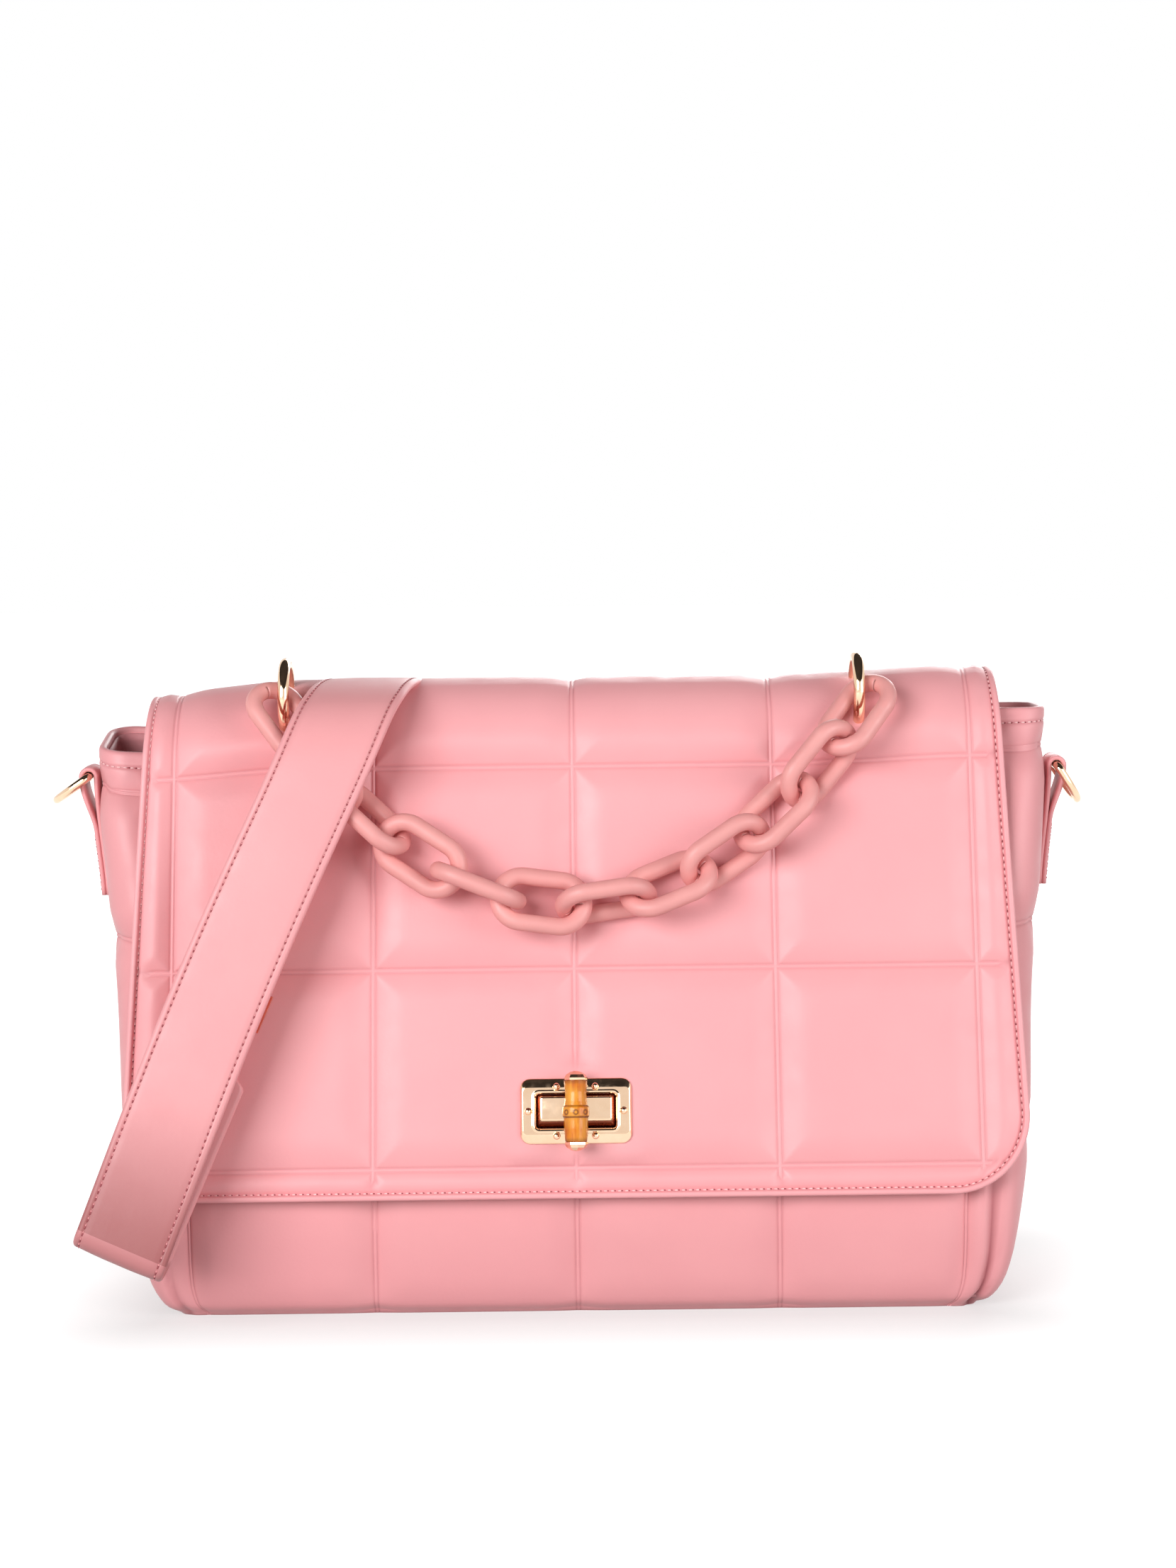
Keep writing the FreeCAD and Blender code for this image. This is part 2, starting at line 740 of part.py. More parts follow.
def strap_back():
    """Leg that hangs behind the bag and ends round the eye of a hook."""
    origin, along, wide, out, down = back_strap_frame()
    half = strap_width / 2
    leg = Part.makeBox(
        strap_back_length + strap_width, strap_width, strap_thickness, vec(-strap_width, -half, 0))
    loop = end_loop(strap_back_length + strap_end_length, strap_thickness / 2)
    solid = place(leg.fuse(loop).removeSplitter(), origin, along, wide, out)
    level = vec(1, 0, 0)
    cut_box = Part.makeBox(span * 2, span, span * 2, vec(-span, -span, -span))
    return solid.cut(place(cut_box, origin, level, down, level.cross(down)))


def hook_parts():
    """Eye, hook and gate of a strap hook: bar on the local Y axis, hook towards +X."""
    rod = eye_rod
    inner_half = strap_end_width / 2 + eye_clearance
    outer_half = inner_half + rod
    eye = Part.makeBox(eye_length + rod / 2, outer_half * 2, rod, vec(-rod / 2, -outer_half, -rod / 2))
    window = Part.makeBox(
        eye_length - rod - rod / 2, inner_half * 2, rod + overrun * 2,
        vec(rod / 2, -inner_half, -rod / 2 - overrun))
    pin_hole = swivel_pin_diameter / 2 + swivel_clearance
    eye = eye.cut(window).cut(cylinder(pin_hole, vec(0, 0, 0), vec(eye_length + overrun, 0, 0)).cut(
        Part.makeBox(rod, rod * 2, rod * 2, vec(-rod / 2, -rod, -rod))))
    head_end = eye_length - rod - swivel_clearance
    stem_start = eye_length + swivel_clearance
    stem_end = stem_start + hook_stem_length
    head = cylinder(swivel_head_diameter / 2, vec(head_end - swivel_head_length, 0, 0), vec(head_end, 0, 0))
    pin = cylinder(swivel_pin_diameter / 2, vec(head_end, 0, 0), vec(stem_start, 0, 0))
    stem = cylinder(hook_stem_diameter / 2, vec(stem_start, 0, 0), vec(stem_end + hook_wire / 2, 0, 0))
    bend = (hook_ring_diameter - hook_wire) / 2
    centre = vec(stem_end + bend, 0, 0)
    ring = Part.makeTorus(bend, hook_wire / 2, centre, vec(0, 0, 1))
    opening = math.radians(hook_gap_degrees)
    reach = hook_ring_diameter
    rise = reach * math.tan(opening)
    left = centre + vec(-rise, reach, -reach)
    right = centre + vec(rise, reach, -reach)
    wedge = prism([centre - vec(0, 0, reach), left, right], vec(0, 0, reach * 2))
    hook = head.multiFuse([pin, stem, ring.cut(wedge)]).removeSplitter()
    hinge, tip = gate_ends(centre, bend, opening)
    gate = cylinder(gate_wire / 2, hinge, tip).fuse(Part.makeSphere(gate_wire / 2, hinge)).removeSplitter()
    return {"eye": eye, "hook": hook, "gate": gate}, hinge


def gate_ends(centre, bend, opening):
    """Ends of the straight gate that closes the hook's opening: a ball at the hinge, a flat tip."""
    side = bend * math.cos(opening)
    radius = gate_wire / 2
    hinge_reach = side * math.tan(opening) - (radius + gate_clearance) / math.cos(opening)
    tip_reach = (side - radius) * math.tan(opening) - gate_clearance / math.cos(opening)
    return centre + vec(-hinge_reach, side, 0), centre + vec(tip_reach, side, 0)


def strap_hook(prefix, origin, along, wide, out):
    parts, hinge = hook_parts()
    placed = {}
    for name, solid in parts.items():
        placed[prefix + "_" + name] = place(solid, origin, along, wide, out)
    pivot = origin + along * hinge.x + wide * hinge.y
    swivel = origin + along * eye_length
    print(prefix, "gate hinge", pivot, "axis", out)
    print(prefix, "swivel", swivel, "axis", along)
    return placed


def tab_bore():
    return side_ring_wire / 2 + side_ring_clearance


def tab_axis():
    """Distance from the middle of the bag to the bar of a side ring."""
    wall = body_profile(tab_top_height)[0]
    return wall + tab_gap + tab_bore() + tab_ply


def side_tab(side):
    """Folded leather tab on a gusset, with a tunnel along Y for the ring."""
    wall = body_profile(tab_top_height)[0] + tab_gap
    outer = tab_bore() + tab_ply
    plies = tab_ply * 2
    top = tab_top_height
    low = top - tab_length
    start = -tab_width / 2
    points = [
        vec(side * wall, start, low),
        vec(side * (wall + plies), start, low),
        vec(side * (wall + plies), start, top - tab_taper_length),
        vec(side * (wall + outer * 2), start, top),
        vec(side * wall, start, top),
    ]
    axis = side * tab_axis()
    near = vec(axis, start, top)
    far = vec(axis, -start, top)
    beyond = vec(0, overrun, 0)
    solid = prism(points, vec(0, tab_width, 0)).fuse(cylinder(outer, near, far)).removeSplitter()
    return solid.cut(cylinder(tab_bore(), near - beyond, far + beyond))


def side_ring(side, degrees):
    """D-shaped ring: straight bar in the tab, two short arms and a round bow."""
    half = tab_width / 2 + side_ring_side_gap + side_ring_wire / 2
    radius = side_ring_wire / 2
    arm = side_ring_reach - half - radius
    bar = cylinder(radius, vec(0, -half, 0), vec(0, half, 0))
    pieces = []
    for end in (-half, half):
        pieces.append(Part.makeSphere(radius, vec(0, end, 0)))
        pieces.append(cylinder(radius, vec(0, end, 0), vec(arm, end, 0)))
    section = Part.Wire(Part.makeCircle(radius, vec(arm, -half, 0), vec(1, 0, 0)))
    pieces.append(Part.Face(section).revolve(vec(arm, 0, 0), vec(0, 0, 1), 180))
    solid = bar.multiFuse(pieces).removeSplitter()
    angle = math.radians(degrees)
    along = vec(side * math.sin(angle), 0, -math.cos(angle))
    level = vec(0, 1, 0)
    return place(solid, vec(side * tab_axis(), 0, tab_top_height), along, level, along.cross(level))


def build():
    nodes = {}
    nodes.update(body_shell())
    nodes.update(body_inside())

    panel = flap_ply(0, flap_panel_thickness, 0)
    bead_start = crest_point(crest_radius - flap_thickness / 2, flap_hinge_degrees, -flap_top_width / 2)
    bead = cylinder(flap_thickness / 2, bead_start, bead_start + vec(flap_top_width, 0, 0))
    flap_lining = flap_ply(flap_panel_thickness, flap_thickness, flap_lining_margin).cut(bead)
    panel = panel.fuse(bead).removeSplitter()

    lock, lock_cuts = lock_parts()
    frame = flap_front_frame(0, lock_height)
    for name, solid in lock.items():
        nodes[name] = place(solid, *frame)
    for cut in lock_cuts:
        panel = panel.cut(place(cut, *frame))

    on_flap, on_body = snap_parts()
    flap_lining = flap_lining.cut(on_flap)
    panel = panel.cut(on_flap)
    nodes["front_panel"] = nodes["front_panel"].cut(on_body)
    nodes["flap_magnet"] = on_flap
    nodes["body_magnet"] = on_body

    for name, side in (("left_top_ring", -1), ("right_top_ring", 1)):
        x = side * ring_spacing / 2
        nodes[name] = top_ring(x, ring_wire)
        hole = top_ring(x, ring_wire + ring_hole_clearance * 2)
        panel = panel.cut(hole)
        flap_lining = flap_lining.cut(hole)
    nodes["flap_panel"] = panel
    nodes["flap_lining"] = flap_lining

    nodes.update(chain_links())
    nodes["strap_front"] = strap_front()
    nodes["strap_crest"] = strap_crest()
    nodes["strap_back"] = strap_back()

    origin, along, wide, out = front_strap_frame()
    tail = tail_length + strap_end_length
    tail_out = -fold_gap - strap_thickness / 2
    nodes.update(strap_hook("front_hook", origin + along * tail + out * tail_out, along, wide, out))
    origin, along, wide, out, down = back_strap_frame()
    tail = strap_back_length + strap_end_length
    hook_origin = origin + along * tail + out * (strap_thickness / 2)
    nodes.update(strap_hook("back_hook", hook_origin, along, wide, out))

    nodes["left_tab"] = side_tab(-1)
    nodes["right_tab"] = side_tab(1)
    nodes["left_side_ring"] = side_ring(-1, left_side_ring_degrees)
    nodes["right_side_ring"] = side_ring(1, right_side_ring_degrees)
    return nodes


os.makedirs("parts", exist_ok=True)
for name, shape in build().items():
    if not shape.isValid():
        print("not valid:", name)
    shape.exportStep("parts/%s.step" % name)
print("flap hinge", crest_point(crest_radius - flap_thickness / 2, flap_hinge_degrees))
print("ring axis", crest_point(crest_radius + ring_stand_off, ring_angle_degrees))
print("lock axis", flap_front_frame(0, lock_height)[0], flap_front_frame(0, lock_height)[3])
print("side ring axis", tab_axis(), tab_top_height)
print("strap fold", front_strap_frame()[0])
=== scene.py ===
import math
import bmesh
import bpy
import numpy as np
from mathutils import Matrix, Quaternion, Vector
from mathutils.geometry import delaunay_2d_cdt


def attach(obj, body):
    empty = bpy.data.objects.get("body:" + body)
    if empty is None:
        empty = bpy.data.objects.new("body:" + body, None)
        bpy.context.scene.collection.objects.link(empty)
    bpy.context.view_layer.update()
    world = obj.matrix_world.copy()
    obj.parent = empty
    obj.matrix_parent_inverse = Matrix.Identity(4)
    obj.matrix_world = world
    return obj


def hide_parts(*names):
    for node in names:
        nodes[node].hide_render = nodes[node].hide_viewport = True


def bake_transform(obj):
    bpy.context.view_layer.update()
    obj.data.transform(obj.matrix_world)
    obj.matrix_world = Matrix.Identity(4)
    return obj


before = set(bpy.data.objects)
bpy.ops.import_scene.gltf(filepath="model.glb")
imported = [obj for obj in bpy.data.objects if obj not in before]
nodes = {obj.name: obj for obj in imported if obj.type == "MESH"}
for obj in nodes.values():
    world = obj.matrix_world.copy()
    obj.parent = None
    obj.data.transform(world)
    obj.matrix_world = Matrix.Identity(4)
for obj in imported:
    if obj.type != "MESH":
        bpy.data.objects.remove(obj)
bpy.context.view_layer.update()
scene = bpy.context.scene

# Sizes in millimetres, as in the part's source. Meshes are made in metres.
MM = 0.001
level = np.array((1.0, 0.0, 0.0))
backwards = np.array((0.0, 1.0, 0.0))

# Body. Each row has a share of the height, then shares of the half width, the half depth in front
# and behind, and the corner's radius as a share of the half depth.
half_width = 175.0
half_depth = 51.5
body_height = 204.0
body_rows = np.array((
    (0.000, 0.815, 0.790, 0.790, 0.11),
    (0.020, 0.846, 0.890, 0.890, 0.13),
    (0.070, 0.880, 0.955, 0.955, 0.19),
    (0.170, 0.911, 0.990, 1.000, 0.28),
    (0.290, 0.931, 0.960, 1.000, 0.33),
    (0.580, 0.955, 0.740, 0.840, 0.34),
    (0.785, 0.978, 0.575, 0.665, 0.28),
    (0.900, 0.994, 0.455, 0.570, 0.25),
    (1.000, 1.000, 0.330, 0.470, 0.22),
))
mouth_front_drop = 7.0
rim_right_lift = 6.2
rim_left_lift = 1.5
shell_wall = 3.5
lining_gap = 0.3
lining_wall = 0.8
lining_floor = 5.3
hem_inset = 3.8
front_span = 153.0
fixed_span = 120.0
# Where the round of each corner starts, in half turns from the right
corner_starts = {"front_right": -0.5, "back_right": 0.0, "back_left": 0.5, "front_left": 1.0}
# Folds low on the front: how strong each is, in depth and in painted shade, and its (x, z) places
fold_lines = (
    (1.0, ((150.0, 60.0), (149.0, 45.0), (147.5, 21.0), (144.0, 6.0), (140.0, 0.0))),
    (0.45, ((-151.0, 55.0), (-148.0, 25.0), (-143.0, 6.0), (-139.0, 0.0))),
)

# Flap, which rolls over a crest from its hinge and then hangs as a leaning face
crest_y = 0.9
crest_z = 194.3
crest_radius = 30.0
crest_left_sag = 4.5
crest_right_lift = 3.2
lean = math.radians(11.2)
hinge_angle = math.radians(12.0)
hinge_out = np.array((0, math.cos(hinge_angle), math.sin(hinge_angle)))
hinge_down = np.array((0, math.sin(hinge_angle), -math.cos(hinge_angle)))
roll_run = crest_radius * (math.pi - lean - hinge_angle)
tangent_y = crest_y - crest_radius * math.cos(lean)
tangent_z = crest_z + crest_radius * math.sin(lean)
face_up = np.array((0, math.sin(lean), math.cos(lean)))
face_out = np.array((0, -math.cos(lean), math.sin(lean)))
flap_edge_z = 44.2
flap_end = roll_run + (tangent_z - flap_edge_z) / math.cos(lean)
flap_top_half = 155.0
flap_slope = 0.0382
flap_top_z = 224.3
flap_corner = 28.0
flap_ply = 3.3
inner_ply = 1.2
least_ply = 0.6
lip_radius = 1.05
lip_depth = 2.25
turned_edge = 0.05
edge_steps = (0, 0.1, 0.35, 0.7, 1.05, 1.5, 1.9, 2.2, 2.5, 2.8, 3.2, 4.0, 5.2)

# Quilting and stitches
quilt_columns = np.array((-144.0, -72.0, 0.0, 72.0, 144.0))
quilt_rows = np.array((14.9, 88.3, 160.8, 230.6))
body_quilt_rows = np.array((62.0, 134.0, 191.5))
quilt_puff = 2.9
body_puff = 2.6
quilt_reach = 11.0
seam_flat = 0.75
groove_half = 0.7
groove_width = 0.3
groove_depth = 0.4
# Strength of the painted shade on the two pressed lines beside each seam.
groove_shade = 0.34
seam_steps = (0, 0.35, 0.7, 1.05, 1.5, 2.3, 3.3, 4.5, 5.9, 7.5, 9.3, 11.3, 13.5, 17, 21, 26, 31, 36)
stitch_inset = 2.5
stitch_pitch = 2.5

# Lock and magnet on the flap's face
lock_z = 74.0
lock_run = roll_run + (tangent_z - lock_z) / math.cos(lean)
lock_origin = np.array((0, tangent_y - (tangent_z - lock_z) * math.tan(lean), lock_z))
plate_half = (19.7, 11.35)
plate_corner = 3.5
plate_thick = 1.6
window_half = (14.15, 6.0)
window_corner = 1.2
boss_half = (12.75, 4.3)
boss_rise = 0.8
bar_out = 7.9
bar_half = 10.5
magnet_z = 54.0
magnet_run = roll_run + (tangent_z - magnet_z) / math.cos(lean)

# Chain and rings
link_run = 30.4
link_span = 16.8
link_wire = 6.2
top_ring_x = 104.0
top_ring_turn = math.radians(128.0)
top_ring_stand = 2.1
top_ring_radius = 11.9
top_ring_wire = 4.2
ring_hole_runs = (49.35, 72.1)
side_bar_x = 178.1855
side_bar_z = 190.0
side_ring_half = 10.5
side_ring_reach = 17.0
side_ring_wire = 3.0
side_ring_bend = 2.0

# Straps and tabs
strap_half = 16.75
strap_thick = 3.0
strap_crown = 0.3
strap_rises = ((1.9, 0.0), (2.2, -0.16), (2.5, -0.24), (2.8, -0.16), (3.2, 0.015), (5.0, 0.105),
               (8.0, 0.225), (12.0, 0.3))
strap_stitch_inset = 2.5
strap_stitch_rise = 1.32
strap_thread_half = 0.5
strap_dent_half = 0.8
strap_slant = math.radians(23.0)
strap_along = level * math.sin(strap_slant) + face_up * math.cos(strap_slant)
strap_wide = np.cross(strap_along, face_out)
strap_origin = np.array((-159.0, -84.83, 29.28))
strap_leave = math.radians(100.0)
strap_ease = 22.0
strap_bow = 3.6
leg_top = np.array((-81.4, -49.29, 208.74))
leg_length = 198.0
fold_shift = 6.0
fold_mid = 4.5
fold_depth = 3.0
tail_out = -7.5
tail_length = 70.0
leg_steps = np.linspace(fold_shift / leg_length, 1, 64)
shoulder_y = -37.52
shoulder_z = 206.41
shoulder_mid = 13.5
crest_mid = 32.1
fall_x = -67.3
fall_y = 30.83
back_slant = math.radians(10.0)
back_along = hinge_down * math.cos(back_slant) + level * math.sin(back_slant)
back_wide = np.cross(back_along, hinge_out)
back_wide = back_wide * np.sign(back_wide[0])
back_origin = np.array((fall_x, 34.57, 183.06)) + hinge_out * (strap_thick / 2)
back_length = 116.0
back_narrow_at = 120.0
narrow_run = 6.0
eye_reach = 22.0
loop_radius = 4.06
loop_half = 10.0
tab_wall_x = 174.6
tab_half = 8.0
tab_ply = 1.7
tab_foot_z = 146.5
tab_bend_z = 170.0
tab_bar_mid = 2.75


def srgb(red, green, blue):
    """Linear colour for a shader socket, from display values."""
    linear = []
    for value in (red / 255, green / 255, blue / 255):
        linear.append(value / 12.92 if value <= 0.04045 else ((value + 0.055) / 1.055) ** 2.4)
    return linear + [1.0]


def ramp(low, high, value):
    """Smooth step from 0 at low to 1 at high."""
    t = np.clip((value - low) / (high - low), 0, 1)
    return t * t * (3 - 2 * t)


def unit(vector):
    return vector / np.linalg.norm(vector)


# Materials

def set_inputs(tree, node, inputs):
    """Sets a node's inputs by name or place, each to a value or to another node's output."""
    for key, value in inputs.items():
        if isinstance(value, bpy.types.NodeSocket):
            tree.links.new(value, node.inputs[key])
        else:
            node.inputs[key].default_value = value


def add_node(tree, kind, inputs=None, **settings):
    """New node of a kind, with its settings and inputs."""
    node = tree.nodes.new(kind)
    for label, value in settings.items():
        setattr(node, label, value)
    set_inputs(tree, node, inputs or {})
    return node


def maths(tree, operation, first, second):
    """Output of a sum on two values or sockets."""
    return add_node(tree, "ShaderNodeMath", {0: first, 1: second}, operation=operation).outputs[0]


def empty_tree(owner):
    """Node tree of a material or a world, with nothing in it."""
    owner.use_nodes = True
    owner.node_tree.nodes.clear()
    return owner.node_tree


def new_material(name):
    material = bpy.data.materials.new(name)
    tree = empty_tree(material)
    shader = tree.nodes.new("ShaderNodeBsdfPrincipled")
    add_node(tree, "ShaderNodeOutputMaterial", {"Surface": shader.outputs["BSDF"]})
    return material, tree, shader


def noise(tree, coordinate, scale, detail=3.0, stretch=None):
    """Noise on the piece's own coordinates, scale in waves per metre."""
    if stretch is not None:
        mapping = add_node(tree, "ShaderNodeMapping", {"Vector": coordinate, "Scale": stretch})
        coordinate = mapping.outputs["Vector"]
    inputs = {"Vector": coordinate, "Scale": scale, "Detail": detail}
    return add_node(tree, "ShaderNodeTexNoise", inputs).outputs["Fac"]


def cells(tree, coordinate, scale):
    """Pebbled cells on the piece's own coordinates."""
    texture = add_node(tree, "ShaderNodeTexVoronoi", feature="SMOOTH_F1")
    set_inputs(tree, texture, {"Vector": coordinate, "Scale": scale})
    return texture.outputs["Distance"]


def weave(tree, coordinate, direction):
    """Threads of a cloth that lie side by side along one direction."""
    inputs = {"Vector": coordinate, "Scale": 420, "Distortion": 0.6}
    return add_node(tree, "ShaderNodeTexWave", inputs, bands_direction=direction).outputs["Fac"]


def between(tree, factor, low, high, start, end):
    """Value that runs from low to high while the factor runs from start to end."""
    inputs = {"Value": factor, "From Min": start, "From Max": end, "To Min": low, "To Max": high}
    return add_node(tree, "ShaderNodeMapRange", inputs).outputs["Result"]


def tint(tree, factor, first, second):
    """Mix of two colours by a factor. Each is given as display values or as a socket."""
    first, second = (c if isinstance(c, bpy.types.NodeSocket) else srgb(*c) for c in (first, second))
    mix = add_node(tree, "ShaderNodeMix", {"Factor": factor, 6: first, 7: second}, data_type="RGBA")
    return mix.outputs[2]


def bump(tree, height, distance, strength, below=None):
    """Normal raised by a height in metres, on top of another normal if there is one."""
    inputs = {"Height": height, "Distance": distance, "Strength": strength}
    if below is not None:
        inputs["Normal"] = below
    return add_node(tree, "ShaderNodeBump", inputs).outputs["Normal"]


def object_coordinate(tree):
    return tree.nodes.new("ShaderNodeTexCoord").outputs["Object"]


def painted_shade_and_tone_input(tree):
    """The piece's own attribute of painted shade in its grooves, stitch lines and folds. On the bamboo bar it
    also holds the node's own darker tone.
    """
    return add_node(tree, "ShaderNodeAttribute", attribute_name="painted_shade_and_tone").outputs["Fac"]


def leather_material(name, colour, painted_shade_colour, pale, roughness, grain):
    """Fine grained leather: cloudy tone, painted shade in grooves, stitch lines and folds, pebble and pores
    in the bump.
    """
    material, tree, shader = new_material(name)
    place = object_coordinate(tree)
    cloud = between(tree, noise(tree, place, 26, 4.0), 0, 0.6, 0.42, 0.72)
    # Painted shade: the piece's attribute mixes in the darker colour where grooves, stitch lines and folds
    # would lie in shade.
    tone = tint(tree, painted_shade_and_tone_input(tree), tint(tree, cloud, colour, pale), painted_shade_colour)
    polish = between(tree, noise(tree, place, 120), roughness - 0.05, roughness + 0.07, 0.3, 0.7)
    pebble = bump(tree, cells(tree, place, 780), 0.0002, grain)
    pores = bump(tree, noise(tree, place, 2600, 2.0), 0.0001, grain * 0.6, pebble)
    wave = bump(tree, noise(tree, place, 60, 2.0), 0.0006, grain * 0.5, pores)
    set_inputs(tree, shader, {
        "Base Color": tone, "Roughness": polish, "Normal": wave, "Specular IOR Level": 0.42,
        "Sheen Weight": 0.08, "Sheen Roughness": 0.4,
    })
    return material


def resin_material():
    """Matt dyed resin with faint flow lines and a soft handling polish."""
    material, tree, shader = new_material("chain_resin")
    place = object_coordinate(tree)
    flow = between(tree, noise(tree, place, 70, 4.0), 0, 1, 0.35, 0.7)
    set_inputs(tree, shader, {
        "Base Color": tint(tree, flow, (229, 156, 153), (236, 164, 160)),
        "Roughness": between(tree, noise(tree, place, 240), 0.38, 0.52, 0.3, 0.7),
        "Normal": bump(tree, noise(tree, place, 900), 0.0001, 0.12),
        "Subsurface Weight": 0.08, "Subsurface Radius": (0.004, 0.0016, 0.0014),
    })
    return material


def metal_material(name, colour, worn, roughness):
    """Polished plated metal with cloudy polish and hairline scratches."""
    material, tree, shader = new_material(name)
    place = object_coordinate(tree)
    patch = between(tree, noise(tree, place, 160, 4.0), 0, 1, 0.4, 0.75)
    cloud = noise(tree, place, 420, 4.0)
    scratch = noise(tree, place, 400, 2.0, (0.3, 9.0, 9.0))
    set_inputs(tree, shader, {
        "Metallic": 1.0, "Base Color": tint(tree, patch, colour, worn),
        "Roughness": between(tree, cloud, roughness - 0.06, roughness + 0.08, 0.3, 0.7),
        "Normal": bump(tree, scratch, 0.0001, 0.05),
    })
    return material


def bamboo_material():
    """Glazed bamboo: streaks along the bar, darker at the node and the ends, and painted shade on the bar's
    sides.
    """
    material, tree, shader = new_material("bamboo_glaze")
    place = object_coordinate(tree)
    streak = noise(tree, place, 90, 4.0, (9.0, 9.0, 0.8))
    blotch = noise(tree, place, 90, 2.0)
    tone = tint(tree, between(tree, streak, 0, 1, 0.35, 0.68), (202, 100, 14), (234, 142, 32))
    tone = tint(tree, between(tree, blotch, 0, 0.8, 0.42, 0.7), tone, (250, 184, 72))
    # The attribute's dark brown is the node's own colour, darker ends, and painted shade on the bar's sides.
    tone = tint(tree, painted_shade_and_tone_input(tree), tone, (112, 52, 18))
    set_inputs(tree, shader, {
        "Base Color": tone, "Roughness": between(tree, streak, 0.2, 0.34, 0.3, 0.7),
        "Normal": bump(tree, streak, 0.0001, 0.12), "Specular IOR Level": 0.25,
        "Coat Weight": 0.2, "Coat Roughness": 0.08,
    })
    return material


def cloth_material():
    """Woven lining cloth."""
    material, tree, shader = new_material("lining_cloth")
    place = object_coordinate(tree)
    cloud = between(tree, noise(tree, place, 40, 4.0), 0, 1, 0.4, 0.7)
    warp = weave(tree, place, "X")
    weft = weave(tree, place, "Z")
    tone = tint(tree, cloud, (171, 104, 108), (188, 120, 123))
    tone = tint(tree, between(tree, warp, 0, 0.3, 0, 1), tone, (150, 88, 93))
    threads = bump(tree, weft, 0.0003, 0.4, bump(tree, warp, 0.0003, 0.4))
    set_inputs(tree, shader, {"Base Color": tone, "Normal": threads, "Roughness": 0.85, "Sheen Weight": 0.2})
    return material


def plain_material(name, colour, other, roughness, scale):
    """Thread and board finishes and the painted shade of stitch dents: mottled colour with a little tooth."""
    material, tree, shader = new_material(name)
    place = object_coordinate(tree)
    mottle = between(tree, noise(tree, place, scale, 4.0), 0, 1, 0.35, 0.7)
    tooth = bump(tree, noise(tree, place, scale * 3), 0.0001, 0.3)
    set_inputs(tree, shader, {"Base Color": tint(tree, mottle, colour, other), "Normal": tooth,
                              "Roughness": roughness})
    return material


# Each leather gives its colour, the colour of its painted shade, a paler tone for its clouds, its roughness
# and its grain.
leather = leather_material("quilted_leather", (241, 167, 171), (196, 112, 119), (244, 173, 176), 0.44, 0.14)
# The body's leather is a darker copy of the flap's, as painted shade for the lower body below the flap.
body_leather_painted_shade = leather_material("body_leather_painted_shade", (232, 158, 162), (174, 94, 100), (236, 164, 167), 0.44, 0.14)
strap_leather = leather_material("strap_leather", (235, 161, 164), (164, 96, 96), (239, 167, 169), 0.46, 0.14)
inner_leather = leather_material("inner_leather", (216, 142, 147), (170, 98, 104), (224, 152, 156),
                                 0.58, 0.16)
resin = resin_material()
gold = metal_material("pale_gold", (238, 203, 170), (243, 212, 182), 0.1)
# Dark gold for painted shadow in the recess round the boss's foot.
painted_shadow_gold = metal_material("painted_shadow_gold", (120, 58, 42), (134, 68, 48), 0.24)
steel = metal_material("magnet_steel", (168, 166, 164), (190, 188, 186), 0.3)
bamboo = bamboo_material()
lining_cloth = cloth_material()
board = plain_material("base_board", (120, 112, 104), (140, 132, 122), 0.8, 400)
thread = plain_material("stitch_thread", (250, 205, 205), (242, 190, 192), 0.6, 900)
strap_thread = plain_material("strap_thread", (226, 150, 153), (216, 140, 144), 0.6, 900)
# Dark colour of painted shade in the needle dents between stitches.
stitch_dent_painted_shade = plain_material("stitch_dent_painted_shade", (150, 72, 78), (166, 84, 90), 0.8, 900)


# Mesh helpers

def place_mesh(name, mesh):
    """Object at the origin that shows a mesh."""
    piece = bpy.data.objects.new(name, mesh)
    scene.collection.objects.link(piece)
    return piece


def make_piece(name, points, faces, materials, face_materials=None, painted_shade_and_tone=None):
    """Smooth piece with its place in its mesh, from millimetres, with its faces turned outwards."""
    mesh = bpy.data.meshes.new(name)
    mesh.from_pydata((np.asarray(points, float) * MM).tolist(), [], faces)
    for material in materials:
        mesh.materials.append(material)
    if face_materials is not None:
        mesh.polygons.foreach_set("material_index", face_materials)
    if painted_shade_and_tone is not None:
        attribute = mesh.attributes.new("painted_shade_and_tone", "FLOAT", "POINT")
        attribute.data.foreach_set("value", np.asarray(painted_shade_and_tone, np.float32))
    shape = bmesh.new()
    shape.from_mesh(mesh)
    bmesh.ops.recalc_face_normals(shape, faces=shape.faces)
    shape.to_mesh(mesh)
    shape.free()
    mesh.polygons.foreach_set("use_smooth", [True] * len(mesh.polygons))
    mesh.update()
    return place_mesh(name, mesh)


def loft_faces(rows, columns, row_closed=False):
    """Quads between closed rings, and from the last ring to the first if the rows close too."""
    faces = []
    for row in range(rows if row_closed else rows - 1):
        after = (row + 1) % rows
        for column in range(columns):
            beside = (column + 1) % columns
            faces.append((row * columns + column, row * columns + beside,
                          after * columns + beside, after * columns + column))
    return faces


def capped_loft(rings):
    """Points and faces of rings skinned in order, each end closed by a fan."""
    rings = np.asarray(rings, float)
    rows, columns = rings.shape[:2]
    points = list(rings.reshape(-1, 3))
    faces = loft_faces(rows, columns)
    for row in (0, rows - 1):
        centre = len(points)
        points.append(rings[row].mean(axis=0))
        for column in range(columns):
            faces.append((centre, row * columns + column, row * columns + (column + 1) % columns))
    return np.array(points), faces


def hoop(rings):
    """Points and faces of rings skinned in order and back to the first."""
    rings = np.asarray(rings, float)
    rows, columns = rings.shape[:2]
    return rings.reshape(-1, 3), loft_faces(rows, columns, True)


